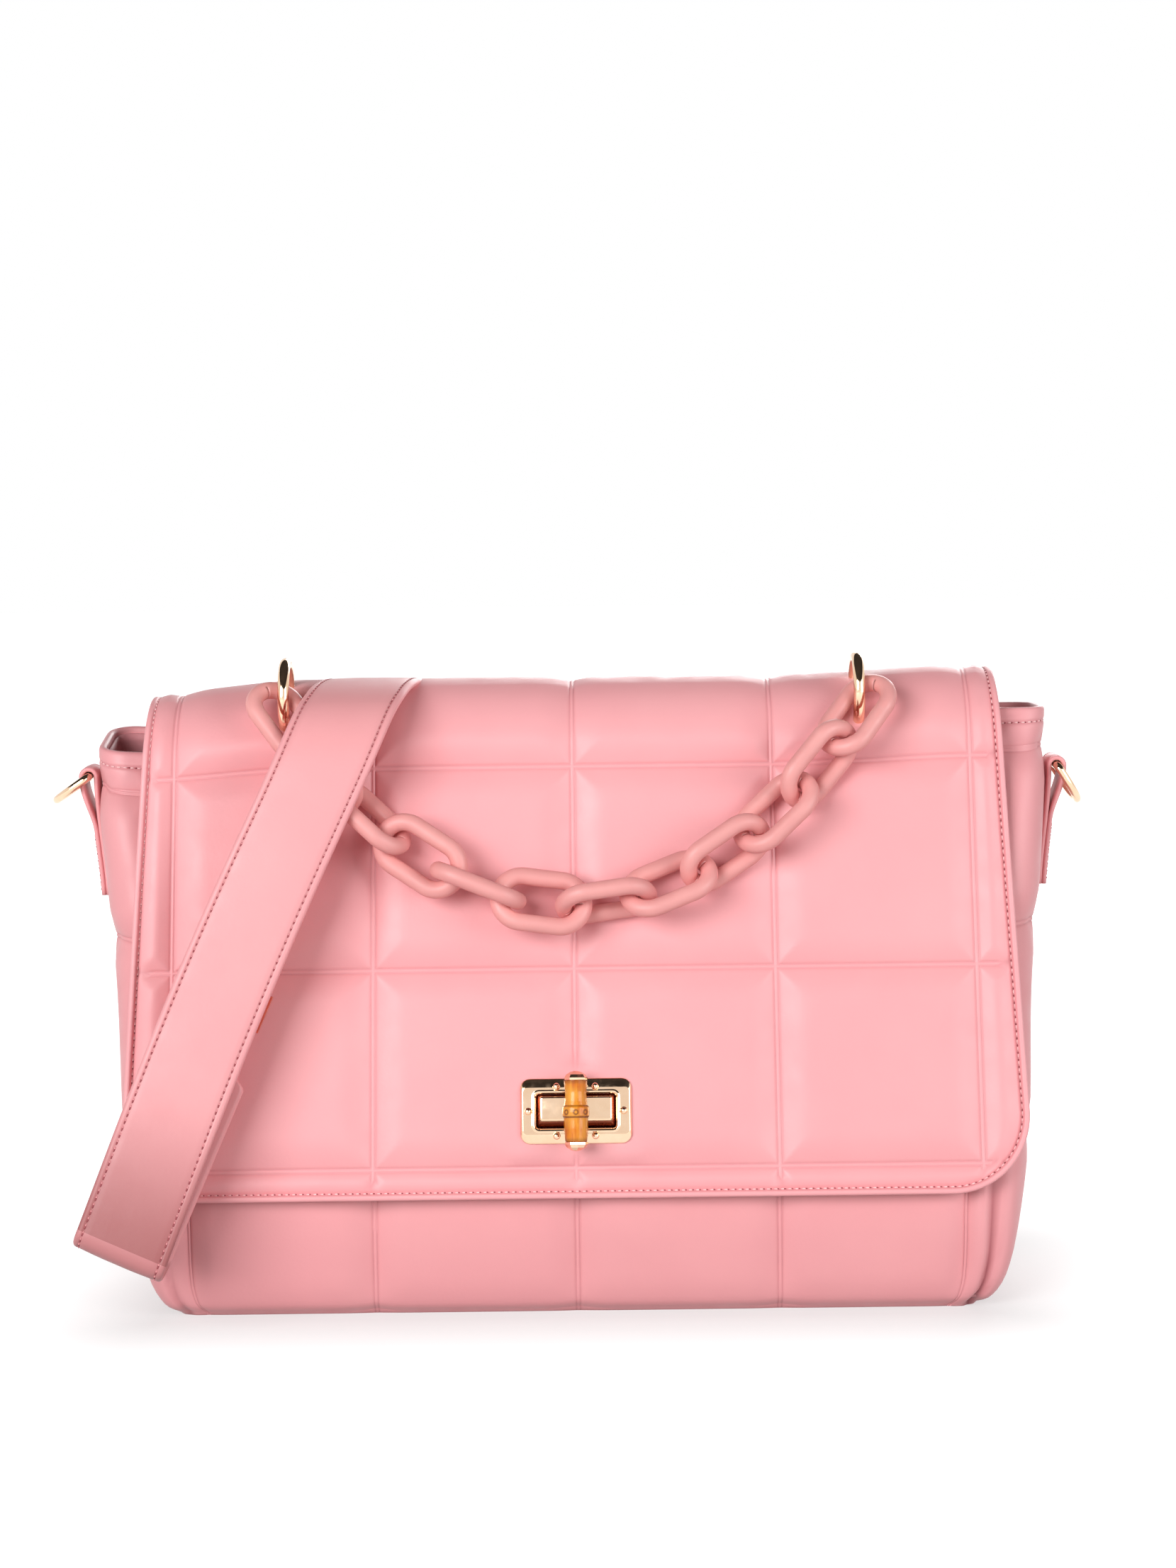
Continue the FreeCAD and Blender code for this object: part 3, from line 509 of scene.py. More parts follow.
def tube(path, radius, around):
    """Points and faces of a round tube along a closed path that lies in a plane."""
    path = np.asarray(path, float)
    tangents = np.roll(path, -1, axis=0) - np.roll(path, 1, axis=0)
    normal = unit(np.linalg.svd(path - path.mean(axis=0))[2][2])
    turns = np.linspace(0, math.tau, around, endpoint=False)
    rings = []
    for point, tangent in zip(path, tangents):
        side = unit(np.cross(unit(tangent), normal))
        rings.append(point + radius * (np.outer(np.cos(turns), side) + np.outer(np.sin(turns), normal)))
    return hoop(rings)


def lathe(profile, origin, axis, side, around):
    """Points and faces of a profile of (along, radius) pairs turned about an axis."""
    turns = np.linspace(0, math.tau, around, endpoint=False)
    circle = np.outer(np.cos(turns), side) + np.outer(np.sin(turns), np.cross(axis, side))
    return capped_loft([origin + along * axis + radius * circle for along, radius in profile])


def strip_section(right, middle, under):
    """Closed outline of a strip's cut face, from its right half, its middle and its underside."""
    left = [(-across, rise) for across, rise in right[::-1]]
    return np.array(right + [middle] + left + under)


def round_edge(half, radius, count):
    """Right-hand edge of a strip's cut face as a half round of (across, rise) pairs."""
    turns = np.linspace(-math.pi / 2, math.pi / 2, count)
    return [(half - radius + radius * math.cos(t), radius * math.sin(t)) for t in turns]


def path_runs(path):
    """Distance along a path at each of its points."""
    return np.concatenate([[0], np.cumsum(np.linalg.norm(np.diff(path, axis=0), axis=1))])


# Flap

def flap_place(x, run, height):
    """Points at a place across, a run from the hinge and a height above the outer face."""
    angle = hinge_angle + np.minimum(run, roll_run) / crest_radius
    radius = crest_radius + height
    past = np.maximum(run - roll_run, 0)
    y = crest_y + radius * np.cos(angle) - past * math.sin(lean)
    z = crest_z + radius * np.sin(angle) - past * math.cos(lean)
    sag = (crest_left_sag * ramp(96, 158, -x) - crest_right_lift * ramp(70, 150, x)) * ramp(150, 215, z)
    return np.stack([x + 0 * y, y, z - sag], axis=-1)


def flap_half(run):
    """Half width of the flap at a run from the hinge. It stays the same below the corners' start."""
    run = np.minimum(run, flap_end - flap_corner)
    z = flap_place(np.zeros_like(run), run, np.zeros_like(run))[..., 2]
    return flap_top_half + flap_slope * (flap_top_z - z)


def edge_distance(x, run):
    """Distance from the side and lower edges, rounded at the corners."""
    side = flap_half(run) - np.abs(x)
    low = flap_end - run
    corner = flap_corner - np.hypot(flap_corner - side, flap_corner - low)
    return np.where((side < flap_corner) & (low < flap_corner), corner, np.minimum(side, low))


def flap_edge_path(spacing):
    """Edge from the hinge down the right side, along the bottom and up the left side."""
    straight = np.arange(0, flap_end - flap_corner, spacing)
    right = np.stack([flap_half(straight), straight], axis=1)
    corner_x = flap_half(np.array([flap_end]))[0] - flap_corner
    corner_run = flap_end - flap_corner
    turns = np.linspace(0, math.pi / 2, 18)
    arc = np.stack([corner_x + flap_corner * np.cos(turns), corner_run + flap_corner * np.sin(turns)], axis=1)
    count = int(corner_x * 2 / spacing)
    bottom_x = np.linspace(corner_x, -corner_x, count + 1)[1:-1]
    bottom = np.stack([bottom_x, np.full_like(bottom_x, flap_end)], axis=1)
    left = np.concatenate([right, arc])[::-1] * np.array((-1, 1))
    return np.concatenate([right, arc, bottom, left])


def inset_path(path, distance):
    """Path moved inwards. Its two ends stay on the hinge line."""
    ahead = np.gradient(path, axis=0)
    ahead /= np.linalg.norm(ahead, axis=1)[:, None]
    inward = np.stack([-ahead[:, 1], ahead[:, 0]], axis=1)
    moved = path + inward * distance
    moved[[0, -1], 1] = 0
    return moved


def around_seams(seams, low, high):
    """Places that crowd towards the seams, between two limits."""
    places = {round(seam + side * step, 3) for seam in seams for step in seam_steps for side in (-1, 1)}
    kept = []
    for place in sorted(p for p in places if low < p < high):
        if not kept or place - kept[-1] > 0.2:
            kept.append(place)
    return np.array(kept)


def seam_gap(places, seams):
    """Distance from the nearest seam."""
    return np.min(np.abs(np.asarray(places)[..., None] - seams), axis=-1)


def pillow(distance):
    """Rise of a pillow from 0 at its seam to 1 on its top."""
    t = np.clip((distance - seam_flat) / quilt_reach, 0, 1)
    return 1 - (1 - t) ** 1.8


def band(gap, width):
    """1 where a distance is 0, falling to 0 over a width."""
    return np.exp(-(gap / width) ** 2)


def pressed_lines(gap):
    """The two fine lines pressed beside a seam."""
    return band(gap - groove_half, groove_width)


def ring_dimples(x, run):
    """Leather pulled in where a top ring passes through its punched holes."""
    depth = np.zeros_like(x)
    for hole_x in (-top_ring_x, top_ring_x):
        for hole_run in ring_hole_runs:
            depth += 0.9 * np.exp(-(np.hypot(x - hole_x, run - hole_run) / 3.6) ** 4)
    return depth


def flap_relief(x, run, edge):
    """How far the quilted face lies below the pillow tops, and its painted shade on the pressed lines and the
    stitch line.
    """
    seam = np.minimum(seam_gap(x, quilt_columns), seam_gap(run, quilt_rows))
    rise = pillow(np.minimum(seam, np.maximum(edge - stitch_inset + 0.6, 0)))
    puff = quilt_puff * (0.5 + 0.5 * ramp(roll_run - 40, roll_run + 4, run))
    quilt = puff * (1 - rise) + groove_depth * pressed_lines(seam)
    plate_x = np.maximum(np.abs(x) - plate_half[0], 0)
    plate_run = np.maximum(np.abs(run - lock_run) - plate_half[1], 0)
    under_plate = 1 - ramp(1.5, 9.0, np.hypot(plate_x, plate_run))
    quilt = quilt * (1 - under_plate) + ring_dimples(x, run)
    magnet = 1 - ramp(9.0, 13.0, np.hypot(x, run - magnet_run))
    quilt = np.minimum(quilt, 4.0 - 0.95 * magnet)
    inside = ramp(stitch_inset - 0.7, stitch_inset + 0.2, edge)
    stitch_line = band(edge - stitch_inset, 0.45)
    depth = (1 - inside) * 1.2 + inside * quilt + 0.5 * stitch_line
    # Painted shade: darker on the two pressed lines beside each seam and along the stitch line.
    painted_shade_and_tone = groove_shade * pressed_lines(seam) * inside * (1 - under_plate)
    return depth, np.maximum(painted_shade_and_tone, 0.35 * stitch_line)


def flap_triangles():
    """Places of (across, run), how far each lies from the edge, and the triangles between them."""
    path = flap_edge_path(2.5)
    flat = []
    edges = []
    gaps = []
    for step in edge_steps:
        first = len(flat)
        flat.extend(inset_path(path, step).tolist())
        gaps.extend([step] * len(path))
        edges.extend((first + i, first + i + 1) for i in range(len(path) - 1))
    across = around_seams(quilt_columns, -170, 170)
    down = np.concatenate([[0.0], around_seams(quilt_rows, 0.3, flap_end)])
    grid_x, grid_run = np.meshgrid(across, down)
    gap = edge_distance(grid_x, grid_run)
    chosen = gap > edge_steps[-1] + 0.8
    flat.extend(np.stack([grid_x[chosen], grid_run[chosen]], axis=1).tolist())
    gaps.extend(gap[chosen].tolist())
    outline = list(range(len(path)))
    result = delaunay_2d_cdt([Vector(p) for p in flat], edges, [outline], 1, 1e-4, True)
    places = np.array([tuple(p) for p in result[0]])
    triangles = np.array([tuple(face) for face in result[2]])
    middles = places[triangles].mean(axis=1)
    kept = edge_distance(middles[:, 0], middles[:, 1]) > 0.005
    well_inside = 8.0
    edge = np.array([gaps[origin[0]] if origin else well_inside for origin in result[3]])
    return places, edge, triangles[kept].tolist()


def hinge_roll(points, lower, line, reach):
    """Half round that closes the flap along its hinge line: new points, faces and their sides."""
    steps = 7
    added = []
    columns = []
    for i in line:
        column = [i]
        centre = 0.5 * (points[i] + points[lower[i]])
        for step in range(1, steps):
            if lower[i] == i:
                column.append(i)
                continue
            turn = math.pi * step / steps
            column.append(len(points) + len(added))
            added.append(centre + reach[i] * (math.cos(turn) * hinge_out + math.sin(turn) * hinge_down))
        columns.append(column + [lower[i]])
    faces = []
    sides = []
    for one, two in zip(columns, columns[1:]):
        for step in range(steps):
            corners = dict.fromkeys((one[step], one[step + 1], two[step + 1], two[step]))
            if len(corners) > 2:
                faces.append(tuple(corners))
                sides.append(int(step > steps // 2))
    return added, faces, sides


def make_flap():
    """Quilted flap with a rounded lip along its free edges, and its inner leather."""
    places, edge, triangles = flap_triangles()
    x, run = places.T
    depth, painted_shade_and_tone = flap_relief(x, run, edge)
    rounded = edge < lip_radius
    bow = np.sqrt(np.maximum(lip_radius ** 2 - np.maximum(lip_radius - edge, 0) ** 2, 0))
    top = np.where(rounded, bow - lip_depth, -depth)
    under = np.minimum(-flap_ply - inner_ply * ramp(3.6, 4.6, edge), top - least_ply)
    under = np.where(rounded, -bow - lip_depth, under)
    points = np.concatenate([flap_place(x, run, top), flap_place(x, run, under)])
    order = np.arange(len(places))
    lower = np.where(edge < 1e-6, order, order + len(places)).tolist()
    faces = list(triangles)
    sides = [0] * len(triangles)
    for a, b, c in triangles:
        faces.append((lower[c], lower[b], lower[a]))
        sides.append(int(min(edge[a], edge[b], edge[c]) > turned_edge))
    line = [int(i) for i in np.argsort(x) if run[i] < 1e-6]
    added, roll_faces, roll_sides = hinge_roll(points, lower, line, 0.5 * (top - under))
    points = np.concatenate([points, added])
    painted_shade_and_tone = np.concatenate([painted_shade_and_tone, np.zeros(len(points) - len(places))])
    piece = make_piece("flap_quilted", points, faces + roll_faces, [leather, inner_leather],
                       sides + roll_sides, painted_shade_and_tone)
    drop_loose(piece)
    return piece


def drop_loose(piece):
    """Removes points that no face uses."""
    shape = bmesh.new()
    shape.from_mesh(piece.data)
    loose = [v for v in shape.verts if not v.link_faces]
    bmesh.ops.delete(shape, geom=loose, context="VERTS")
    shape.to_mesh(piece.data)
    shape.free()


def flap_seam():
    """Stitch line along the flap's free edges."""
    path = inset_path(flap_edge_path(2.0), stitch_inset)[2:-2]
    x, run = path.T
    depth = flap_relief(x, run, np.full(len(path), stitch_inset))[0]
    return flap_place(x, run, 0.2 - depth)


# Body shell and what lines it

def smooth_rows(height):
    """Half width, front, back and corner radius at heights, eased between the table's rows."""
    share = np.clip(np.asarray(height, float) / body_height, 0, 1)
    knots = body_rows[:, 0]
    result = []
    for column, size in ((1, half_width), (2, half_depth), (3, half_depth), (4, half_depth)):
        values = body_rows[:, column]
        slopes = np.diff(values) / np.diff(knots)
        tangents = np.zeros_like(values)
        tangents[0] = slopes[0]
        tangents[-1] = slopes[-1]
        for i in range(1, len(values) - 1):
            if slopes[i - 1] * slopes[i] > 0:
                tangents[i] = 2 * slopes[i - 1] * slopes[i] / (slopes[i - 1] + slopes[i])
        i = np.clip(np.searchsorted(knots, share, side="right") - 1, 0, len(knots) - 2)
        step = knots[i + 1] - knots[i]
        t = (share - knots[i]) / step
        smooth = (values[i] * (1 + 2 * t) * (1 - t) ** 2 + tangents[i] * step * t * (1 - t) ** 2
                  + values[i + 1] * t * t * (3 - 2 * t) + tangents[i + 1] * step * t * t * (t - 1))
        result.append(smooth * size)
    return result


def shell_columns(dense):
    """Places round the body: a part of the section and a share or place along it."""
    if dense:
        front = around_seams(quilt_columns, -front_span, front_span)
    else:
        front = np.linspace(-front_span, front_span, 49)[1:-1]
    front = np.concatenate([[-front_span], front, [front_span]])
    turn = np.linspace(0, 1, 9 if dense else 5)[1:-1]
    side = np.linspace(0, 1, 15 if dense else 7)
    parts = (
        ("front", front), ("front_right", turn), ("right", side), ("back_right", turn),
        ("back", front[::-1]), ("back_left", turn), ("left", side), ("front_left", turn),
    )
    return [(kind, place) for kind, places in parts for place in places]


def spread(q, reach):
    """Place across for a column, which stays put in the middle and follows the width outside."""
    past = abs(q) - fixed_span
    if past <= 0:
        return q
    return math.copysign(fixed_span + past * (reach - fixed_span) / (front_span - fixed_span), q)


def section_ring(columns, wide, front, back, radius):
    """Outline of the body at one height."""
    ring = []
    for kind, t in columns:
        if kind in corner_starts:
            turn = math.pi * (corner_starts[kind] + 0.5 * t)
            x = (wide - radius) * (1 if "right" in kind else -1)
            y = back - radius if "back" in kind else radius - front
            ring.append((x + radius * math.cos(turn), y + radius * math.sin(turn)))
        elif kind == "right":
            ring.append((wide, radius - front + t * (back + front - 2 * radius)))
        elif kind == "left":
            ring.append((-wide, back - radius - t * (back + front - 2 * radius)))
        else:
            ring.append((spread(t, wide - radius), back if kind == "back" else -front))
    return np.array(ring)


def rim_height(x, y):
    """Height of the rim, which is lower at the front and rides up at the right-hand corner."""
    front = body_rows[-1, 2] * half_depth
    back = body_rows[-1, 3] * half_depth
    corner = ramp(118, 156, x)
    drop = mouth_front_drop * (1 - 1.1 * corner) * np.clip((back - y) / (back + front), 0, 1)
    return body_height - drop + rim_right_lift * corner + rim_left_lift * ramp(135, 172, -x)


def wall(columns, heights, inset):
    """Grid of points on the body's wall, drawn in by an inset, with the rim's slope."""
    wide, front, back, radius = smooth_rows(heights)
    rings = []
    for i, height in enumerate(heights):
        ring = section_ring(columns, wide[i] - inset, front[i] - inset, back[i] - inset, radius[i] - inset)
        rim = rim_height(ring[:, 0], ring[:, 1])
        z = height + (rim - body_height) * ramp(110, body_height, height)
        rings.append(np.column_stack([ring, z]))
    return np.array(rings)


def column_gap(columns):
    """Distance from the nearest upright seam. The corners and sides count as far from any."""
    gaps = []
    for kind, t in columns:
        if kind in ("front", "back"):
            gaps.append(seam_gap(t, quilt_columns))
        elif kind in ("right", "left"):
            gaps.append(40.0)
        else:
            gaps.append(9.0 + 28.0 * (t if kind in ("front_right", "back_left") else 1 - t))
    return np.array(gaps)


def crease_distance(x, z, line):
    """Distance in front view from a polyline of (x, z) places."""
    nearest = np.full(x.shape, 1e6)
    for (x0, z0), (x1, z1) in zip(line, line[1:]):
        run = np.array((x1 - x0, z1 - z0))
        t = np.clip(((x - x0) * run[0] + (z - z0) * run[1]) / (run @ run), 0, 1)
        nearest = np.minimum(nearest, np.hypot(x - x0 - t * run[0], z - z0 - t * run[1]))
    return nearest


def shell_relief(columns, rings, heights):
    """How far the quilted wall lies below its pillow tops, and its painted shade on the pressed lines, the
    hem's stitch line and the folds.
    """
    x, y, z = rings[..., 0], rings[..., 1], rings[..., 2]
    seam = np.minimum(column_gap(columns)[None, :], seam_gap(heights, body_quilt_rows)[:, None])
    on_side = np.array([kind in ("left", "right") for kind, t in columns])
    on_back = np.array([kind == "back" for kind, t in columns])
    open_face = 1 - on_back[None, :] * ramp(180, 194, heights)[:, None]
    pressed = pressed_lines(seam)
    depth = body_puff * (1 - pillow(seam)) + groove_depth * pressed
    depth = depth * np.where(on_side, 0.5, 1.0)[None, :] * open_face
    below_rim = (body_height - heights)[:, None]
    hem = ramp(hem_inset - 0.8, hem_inset + 0.6, below_rim)
    depth = (1 - hem) * 0.3 + hem * depth + 0.6 * band(below_rim - hem_inset, 0.6)
    # Painted shade on the pressed lines and along the hem's stitch line.
    painted_shade_and_tone = groove_shade * pressed * hem * open_face
    painted_shade_and_tone = np.maximum(painted_shade_and_tone, 0.4 * band(below_rim - hem_inset, 0.7))
    depth = depth * (0.35 + 0.65 * ramp(0, 16, z))
    for weight, line in fold_lines:
        gap = crease_distance(x, z, line)
        on_front = weight * ramp(6, -14, y) * ramp(70, 52, z)
        depth = depth + on_front * (2.6 * band(gap, 1.6) - 0.8 * band(gap - 6.0, 3.0))
        # Painted shade in the folds low on the front.
        painted_shade_and_tone = np.maximum(painted_shade_and_tone, on_front * band(gap, 1.3))
    sway = np.sin(x * 0.043 + 0.7) * np.sin(z * 0.061 + 1.9) + 0.6 * np.sin(x * 0.11 + z * 0.07)
    return depth + 0.35 + 0.35 * sway * ramp(0, 30, z), painted_shade_and_tone


def grid_normals(rings):
    """Outward normals of a closed grid of rings."""
    round_step = np.roll(rings, -1, axis=1) - np.roll(rings, 1, axis=1)
    up_step = np.gradient(rings, axis=0)
    normal = np.cross(round_step, up_step)
    return normal / np.maximum(np.linalg.norm(normal, axis=2), 1e-9)[..., None]


def floor_rings(ring, z):
    """Rings that close a floor from its middle to its edge."""
    rings = []
    for share in (0.3, 0.7, 0.93, 0.98):
        inner = ring * np.array((share, share, 1.0))
        inner[:, 2] = z
        rings.append(inner)
    return rings


def cup(outside, lip, inside, base_z, floor_z):
    """Points and faces of a cup: its underside, outer wall, lip, inner wall and floor."""
    outside[0, :, 2] = base_z
    inside[-1, :, 2] = floor_z
    base = floor_rings(outside[0], base_z)
    floor = floor_rings(inside[-1], floor_z)[::-1]
    return capped_loft(np.array(base + list(outside) + lip + list(inside) + floor))


def make_shell():
    """Quilted leather body with a rolled rim."""
    columns = shell_columns(True)
    low = np.array((0, 0.4, 1.0, 1.9, 3.0, 4.4, 6.2, 8.6, 11.6, 15.4, 20, 25, 29))
    rows = around_seams(body_quilt_rows, 30, 197)
    high = np.array((198.2, 199, 199.6, 200.2, 200.8, 201.4, 202.2, 203.2, 204))
    heights = np.concatenate([low, rows, high])
    rings = wall(columns, heights, 0)
    depth, painted_shade_and_tone = shell_relief(columns, rings, heights)
    outside = rings - grid_normals(rings) * depth[..., None]
    inner_heights = np.array((3.5, 6, 12, 20, 32, 48, 70, 95, 120, 145, 165, 180, 192, 200, 204))
    inside = wall(columns, inner_heights, shell_wall)[::-1]
    centre = 0.5 * (outside[-1] + inside[0])
    reach = 0.5 * (outside[-1] - inside[0])
    lip = []
    for turn in np.linspace(0, math.pi, 7)[1:-1]:
        roll = centre + reach * math.cos(turn)
        roll[:, 2] += 1.3 * math.sin(turn)
        lip.append(roll)
    points, faces = cup(outside, lip, inside, 0.0, shell_wall)
    # Painted shade on the outer wall's points only.
    shade = np.zeros(len(points))
    start = len(floor_rings(outside[0], 0.0)) * len(columns)
    shade[start:start + painted_shade_and_tone.size] = painted_shade_and_tone.reshape(-1)
    return make_piece("body_shell", points, faces, [body_leather_painted_shade], None, shade)


def make_lining():
    """Cloth cup inside the shell, below the leather facing."""
    columns = shell_columns(False)
    inset = shell_wall + lining_gap
    heights = np.array((lining_floor, 8, 14, 24, 40, 60, 85, 110, 135, 155, 170, 182))
    outside = wall(columns, heights, inset)
    inside = wall(columns, heights, inset + lining_wall)[::-1]
    slack = 0.35 * (1 - np.sin(inside[..., 0] * 0.09 + inside[..., 2] * 0.05))
    inside = inside + grid_normals(inside) * slack[..., None]
    points, faces = cup(outside, [], inside, lining_floor, lining_floor + lining_wall)
    return make_piece("lining_cup", points, faces, [lining_cloth])


def make_facing():
    """Leather strip along the inside of the rim."""
    columns = shell_columns(False)
    inset = shell_wall + lining_gap
    heights = np.array((182.3, 184, 188, 192, 196, 200, 203))
    outside = wall(columns, heights, inset)
    inside = wall(columns, heights, inset + lining_wall)[::-1]
    points, faces = hoop(np.concatenate([outside, inside]))
    return make_piece("mouth_facing_strip", points, faces, [inner_leather])


def hem_seam():
    """Closed stitch line below the rim."""
    columns = shell_columns(True)
    heights = body_height - hem_inset + np.array((-0.6, 0.0, 0.6))
    rings = wall(columns, heights, 0)
    depth = shell_relief(columns, rings, heights)[0][1]
    line = rings[1] - grid_normals(rings)[1] * (depth[:, None] - 0.15)
    return np.concatenate([line, line[:1]])


# Straps

def strap_section():
    """Cut face of a strap as (across, rise) pairs: rolled edges, a stitched line and a soft crown."""
    radius = strap_thick / 2
    right = round_edge(strap_half, radius, 9)
    right += [(strap_half - inset, radius + rise) for inset, rise in strap_rises]
    under = [(strap_half * share, -radius) for share in (-0.5, 0, 0.5)]
    return strip_section(right, (0, radius + strap_crown), under)


def ribbon(name, stations, painted_shade_and_tone):
    """Strap along stations of (centre, ruling, outward, half width, slant), each with its painted shade."""
    section = strap_section()
    rings = []
    for centre, ruling, outward, half, slant in stations:
        across = section[:, 0] + np.clip(section[:, 0] / 12.0, -1, 1) * (half - strap_half)
        rings.append(centre + np.outer(across / math.cos(slant), ruling) + np.outer(section[:, 1], outward))
    points, faces = capped_loft(rings)
    inset = strap_half - np.abs(section[:, 0])
    # Painted shade along the stitch lines on the strap's top.
    painted_stitch_shade = 0.5 * band(inset - strap_stitch_inset, 0.5) * (section[:, 1] > 0)
    shade = np.zeros(len(points))
    shade[:len(rings) * len(section)] = np.maximum.outer(painted_shade_and_tone, painted_stitch_shade).reshape(-1)
    piece = make_piece(name, points, faces, [strap_leather], None, shade)
    piece.data.set_sharp_from_angle(angle=math.radians(60))
    return piece


def strap_seams(stations):
    """Stitch lines along both edges of a strap."""
    lines = []
    for side in (-1, 1):
        line = []
        for centre, ruling, outward, half, slant in stations:
            across = side * (half - strap_stitch_inset) / math.cos(slant)
            line.append(centre + across * ruling + strap_stitch_rise * outward)
        lines.append(line)
    return lines


def end_loop_stations(origin, along, wide, outward, narrow_at):
    """Narrowed strap end that goes round the bar of its eye and back on itself."""
    stations = []
    for step in np.linspace(0, 1, 7):
        half = strap_half + (loop_half - strap_half) * ramp(0, 1, step)
        stations.append((origin + along * (narrow_at + step * narrow_run), wide, outward, half, 0.0))
    bar_at = narrow_at + eye_reach
    start = narrow_at + narrow_run
    end = bar_at - 5.0
    for step in np.linspace(0.2, 1, 6):
        rise = loop_radius * ramp(0.3, 1, step) * 0.86
        centre = origin + along * (start + (end - start) * step) + outward * rise
        stations.append((centre, wide, outward, loop_half, 0.0))
    for turn in np.linspace(math.radians(60), math.radians(-150), 16)[1:]:
        radial = outward * math.sin(turn) + along * math.cos(turn)
        stations.append((origin + along * bar_at + radial * loop_radius, wide, radial, loop_half, 0.0))
    return stations


def leg_station(step):
    """Station on the front leg. Its ruling turns level towards the top."""
    climb = (leg_top - strap_origin) @ face_up / (strap_along @ face_up)
    turn = strap_slant * ramp(0.25, 1.0, step)
    ruling = strap_wide * math.cos(turn) + strap_along * math.sin(turn)
    centre = strap_origin + strap_along * climb * step + face_out * (strap_thick / 2)
    return centre, ruling, face_out, strap_half, turn


def crest_station(centre, radial):
    """Station over the crest with a level ruling. The strap drifts across as it goes back."""
    share = (centre[1] - leg_top[1]) / (fall_y - leg_top[1])
    x = leg_top[0] + share * (fall_x - leg_top[0])
    return np.array((x, centre[1], centre[2])), level, radial, strap_half, strap_slant


def round_stations(centre_y, centre_z, radius, start, end, count):
    """Stations on a round about a level axis, after its start."""
    stations = []
    for turn in np.linspace(start, end, count)[1:]:
        radial = np.array((0, math.cos(turn), math.sin(turn)))
        stations.append(crest_station(np.array((0, centre_y, centre_z)) + radial * radius, radial))
    return stations


def eased_stations(stations, bow_count, bow):
    """Stations moved on to one smooth sweep, except towards both ends. The first ones bow sideways."""
    centres = np.array([station[0] for station in stations])
    runs = path_runs(centres)
    weights = np.exp(-((runs[:, None] - runs[None, :]) / strap_ease) ** 2) * np.gradient(runs)[None, :]
    smooth = (weights @ centres) / weights.sum(axis=1)[:, None]
    inner = ramp(0, 60, runs) * ramp(0, 60, runs[-1] - runs)
    centres = centres + (smooth - centres) * inner[:, None]
    centres[:, 0] -= bow * np.sin(np.pi * np.clip(runs / (runs[bow_count] * 1.12), 0, 1))
    eased = []
    for station, centre, onward, share in zip(stations, centres, np.gradient(centres, axis=0), inner):
        outward = unit(np.cross(station[1], onward))
        outward = unit(station[2] * (1 - share) + outward * share * np.sign(outward @ station[2]))
        eased.append((centre, station[1], outward, station[3], station[4]))
    return eased


def upper_strap_stations():
    """Leg, shoulder and crest in one smooth sweep, parted where the strap leaves the shoulder."""
    front = [leg_station(step) for step in leg_steps]
    front += round_stations(shoulder_y, shoulder_z, shoulder_mid, math.pi - lean, strap_leave, 16)
    leave = np.array((0, math.cos(strap_leave), math.sin(strap_leave)))
    landing = np.array((0, crest_y, crest_z)) + leave * crest_mid
    rear = []
    for share in np.linspace(0, 1, 16)[1:]:
        rear.append(crest_station(front[-1][0] * (1 - share) + landing * share, leave))
    rear += round_stations(crest_y, crest_z, crest_mid, strap_leave, hinge_angle, 40)
    eased = eased_stations(front + rear, len(leg_steps), strap_bow)
    return eased[:len(front)], eased[len(front) - 1:]


def front_strap_stations():
    """Stations from the looped tail, round the fold and up the front leg, and the painted shade of each."""
    tail = strap_origin + face_out * tail_out
    stations = end_loop_stations(tail, strap_along, strap_wide, -face_out, tail_length)[::-1]
    for place in np.linspace(tail_length - 4, fold_shift + 2, 16):
        stations.append((tail + strap_along * place, strap_wide, -face_out, strap_half, 0.0))
    # Painted shade: none on the tail, 0.6 round the fold, fading out up the lower part of the front leg.
    painted_shade_and_tone = [0.0] * len(stations)
    axis = strap_origin + strap_along * fold_shift - face_out * fold_depth
    for turn in np.linspace(0, math.pi, 15):
        radial = -strap_along * math.sin(turn) - face_out * math.cos(turn)
        stations.append((axis + radial * fold_mid, strap_wide, radial, strap_half, 0.0))
        painted_shade_and_tone.append(0.6)
    upper = upper_strap_stations()[0]
    painted_shade_and_tone += [float(1 - ramp(0.0, 0.36, step)) for step in leg_steps]
    painted_shade_and_tone += [0.0] * (len(upper) - len(leg_steps))
    return stations + upper, painted_shade_and_tone


def rear_strap_stations():
    """Stations from the crest down the back leg to its looped end."""
    stations = upper_strap_stations()[1]
    centre, ruling, radial, half, slant = stations[-1]
    for place in np.linspace(1.5, 18.0, 8):
        stations.append((centre + hinge_down * place, ruling, radial, half, slant))
    for step in np.linspace(0.03, 1, 30):
        turn = back_slant * (1 - ramp(0.0, 0.6, step))
        ruling = back_wide * math.cos(turn) + back_along * math.sin(turn)
        slant = strap_slant * (1 - ramp(0.0, 0.5, step))
        stations.append((back_origin + back_along * back_length * step, ruling, hinge_out, strap_half, slant))
    stations = eased_stations(stations, 1, 0.0)
    return stations + end_loop_stations(back_origin, back_along, back_wide, hinge_out, back_narrow_at)


# Stitches, links and rivets by geometry nodes

def new_tree(name, inputs):
    group = bpy.data.node_groups.new(name, "GeometryNodeTree")
    group.interface.new_socket(name="Geometry", in_out="INPUT", socket_type="NodeSocketGeometry")
    for label, kind in inputs:
        group.interface.new_socket(name=label, in_out="INPUT", socket_type="NodeSocket" + kind)
    group.interface.new_socket(name="Geometry", in_out="OUTPUT", socket_type="NodeSocketGeometry")
    return group, group.nodes.new("NodeGroupInput"), group.nodes.new("NodeGroupOutput")


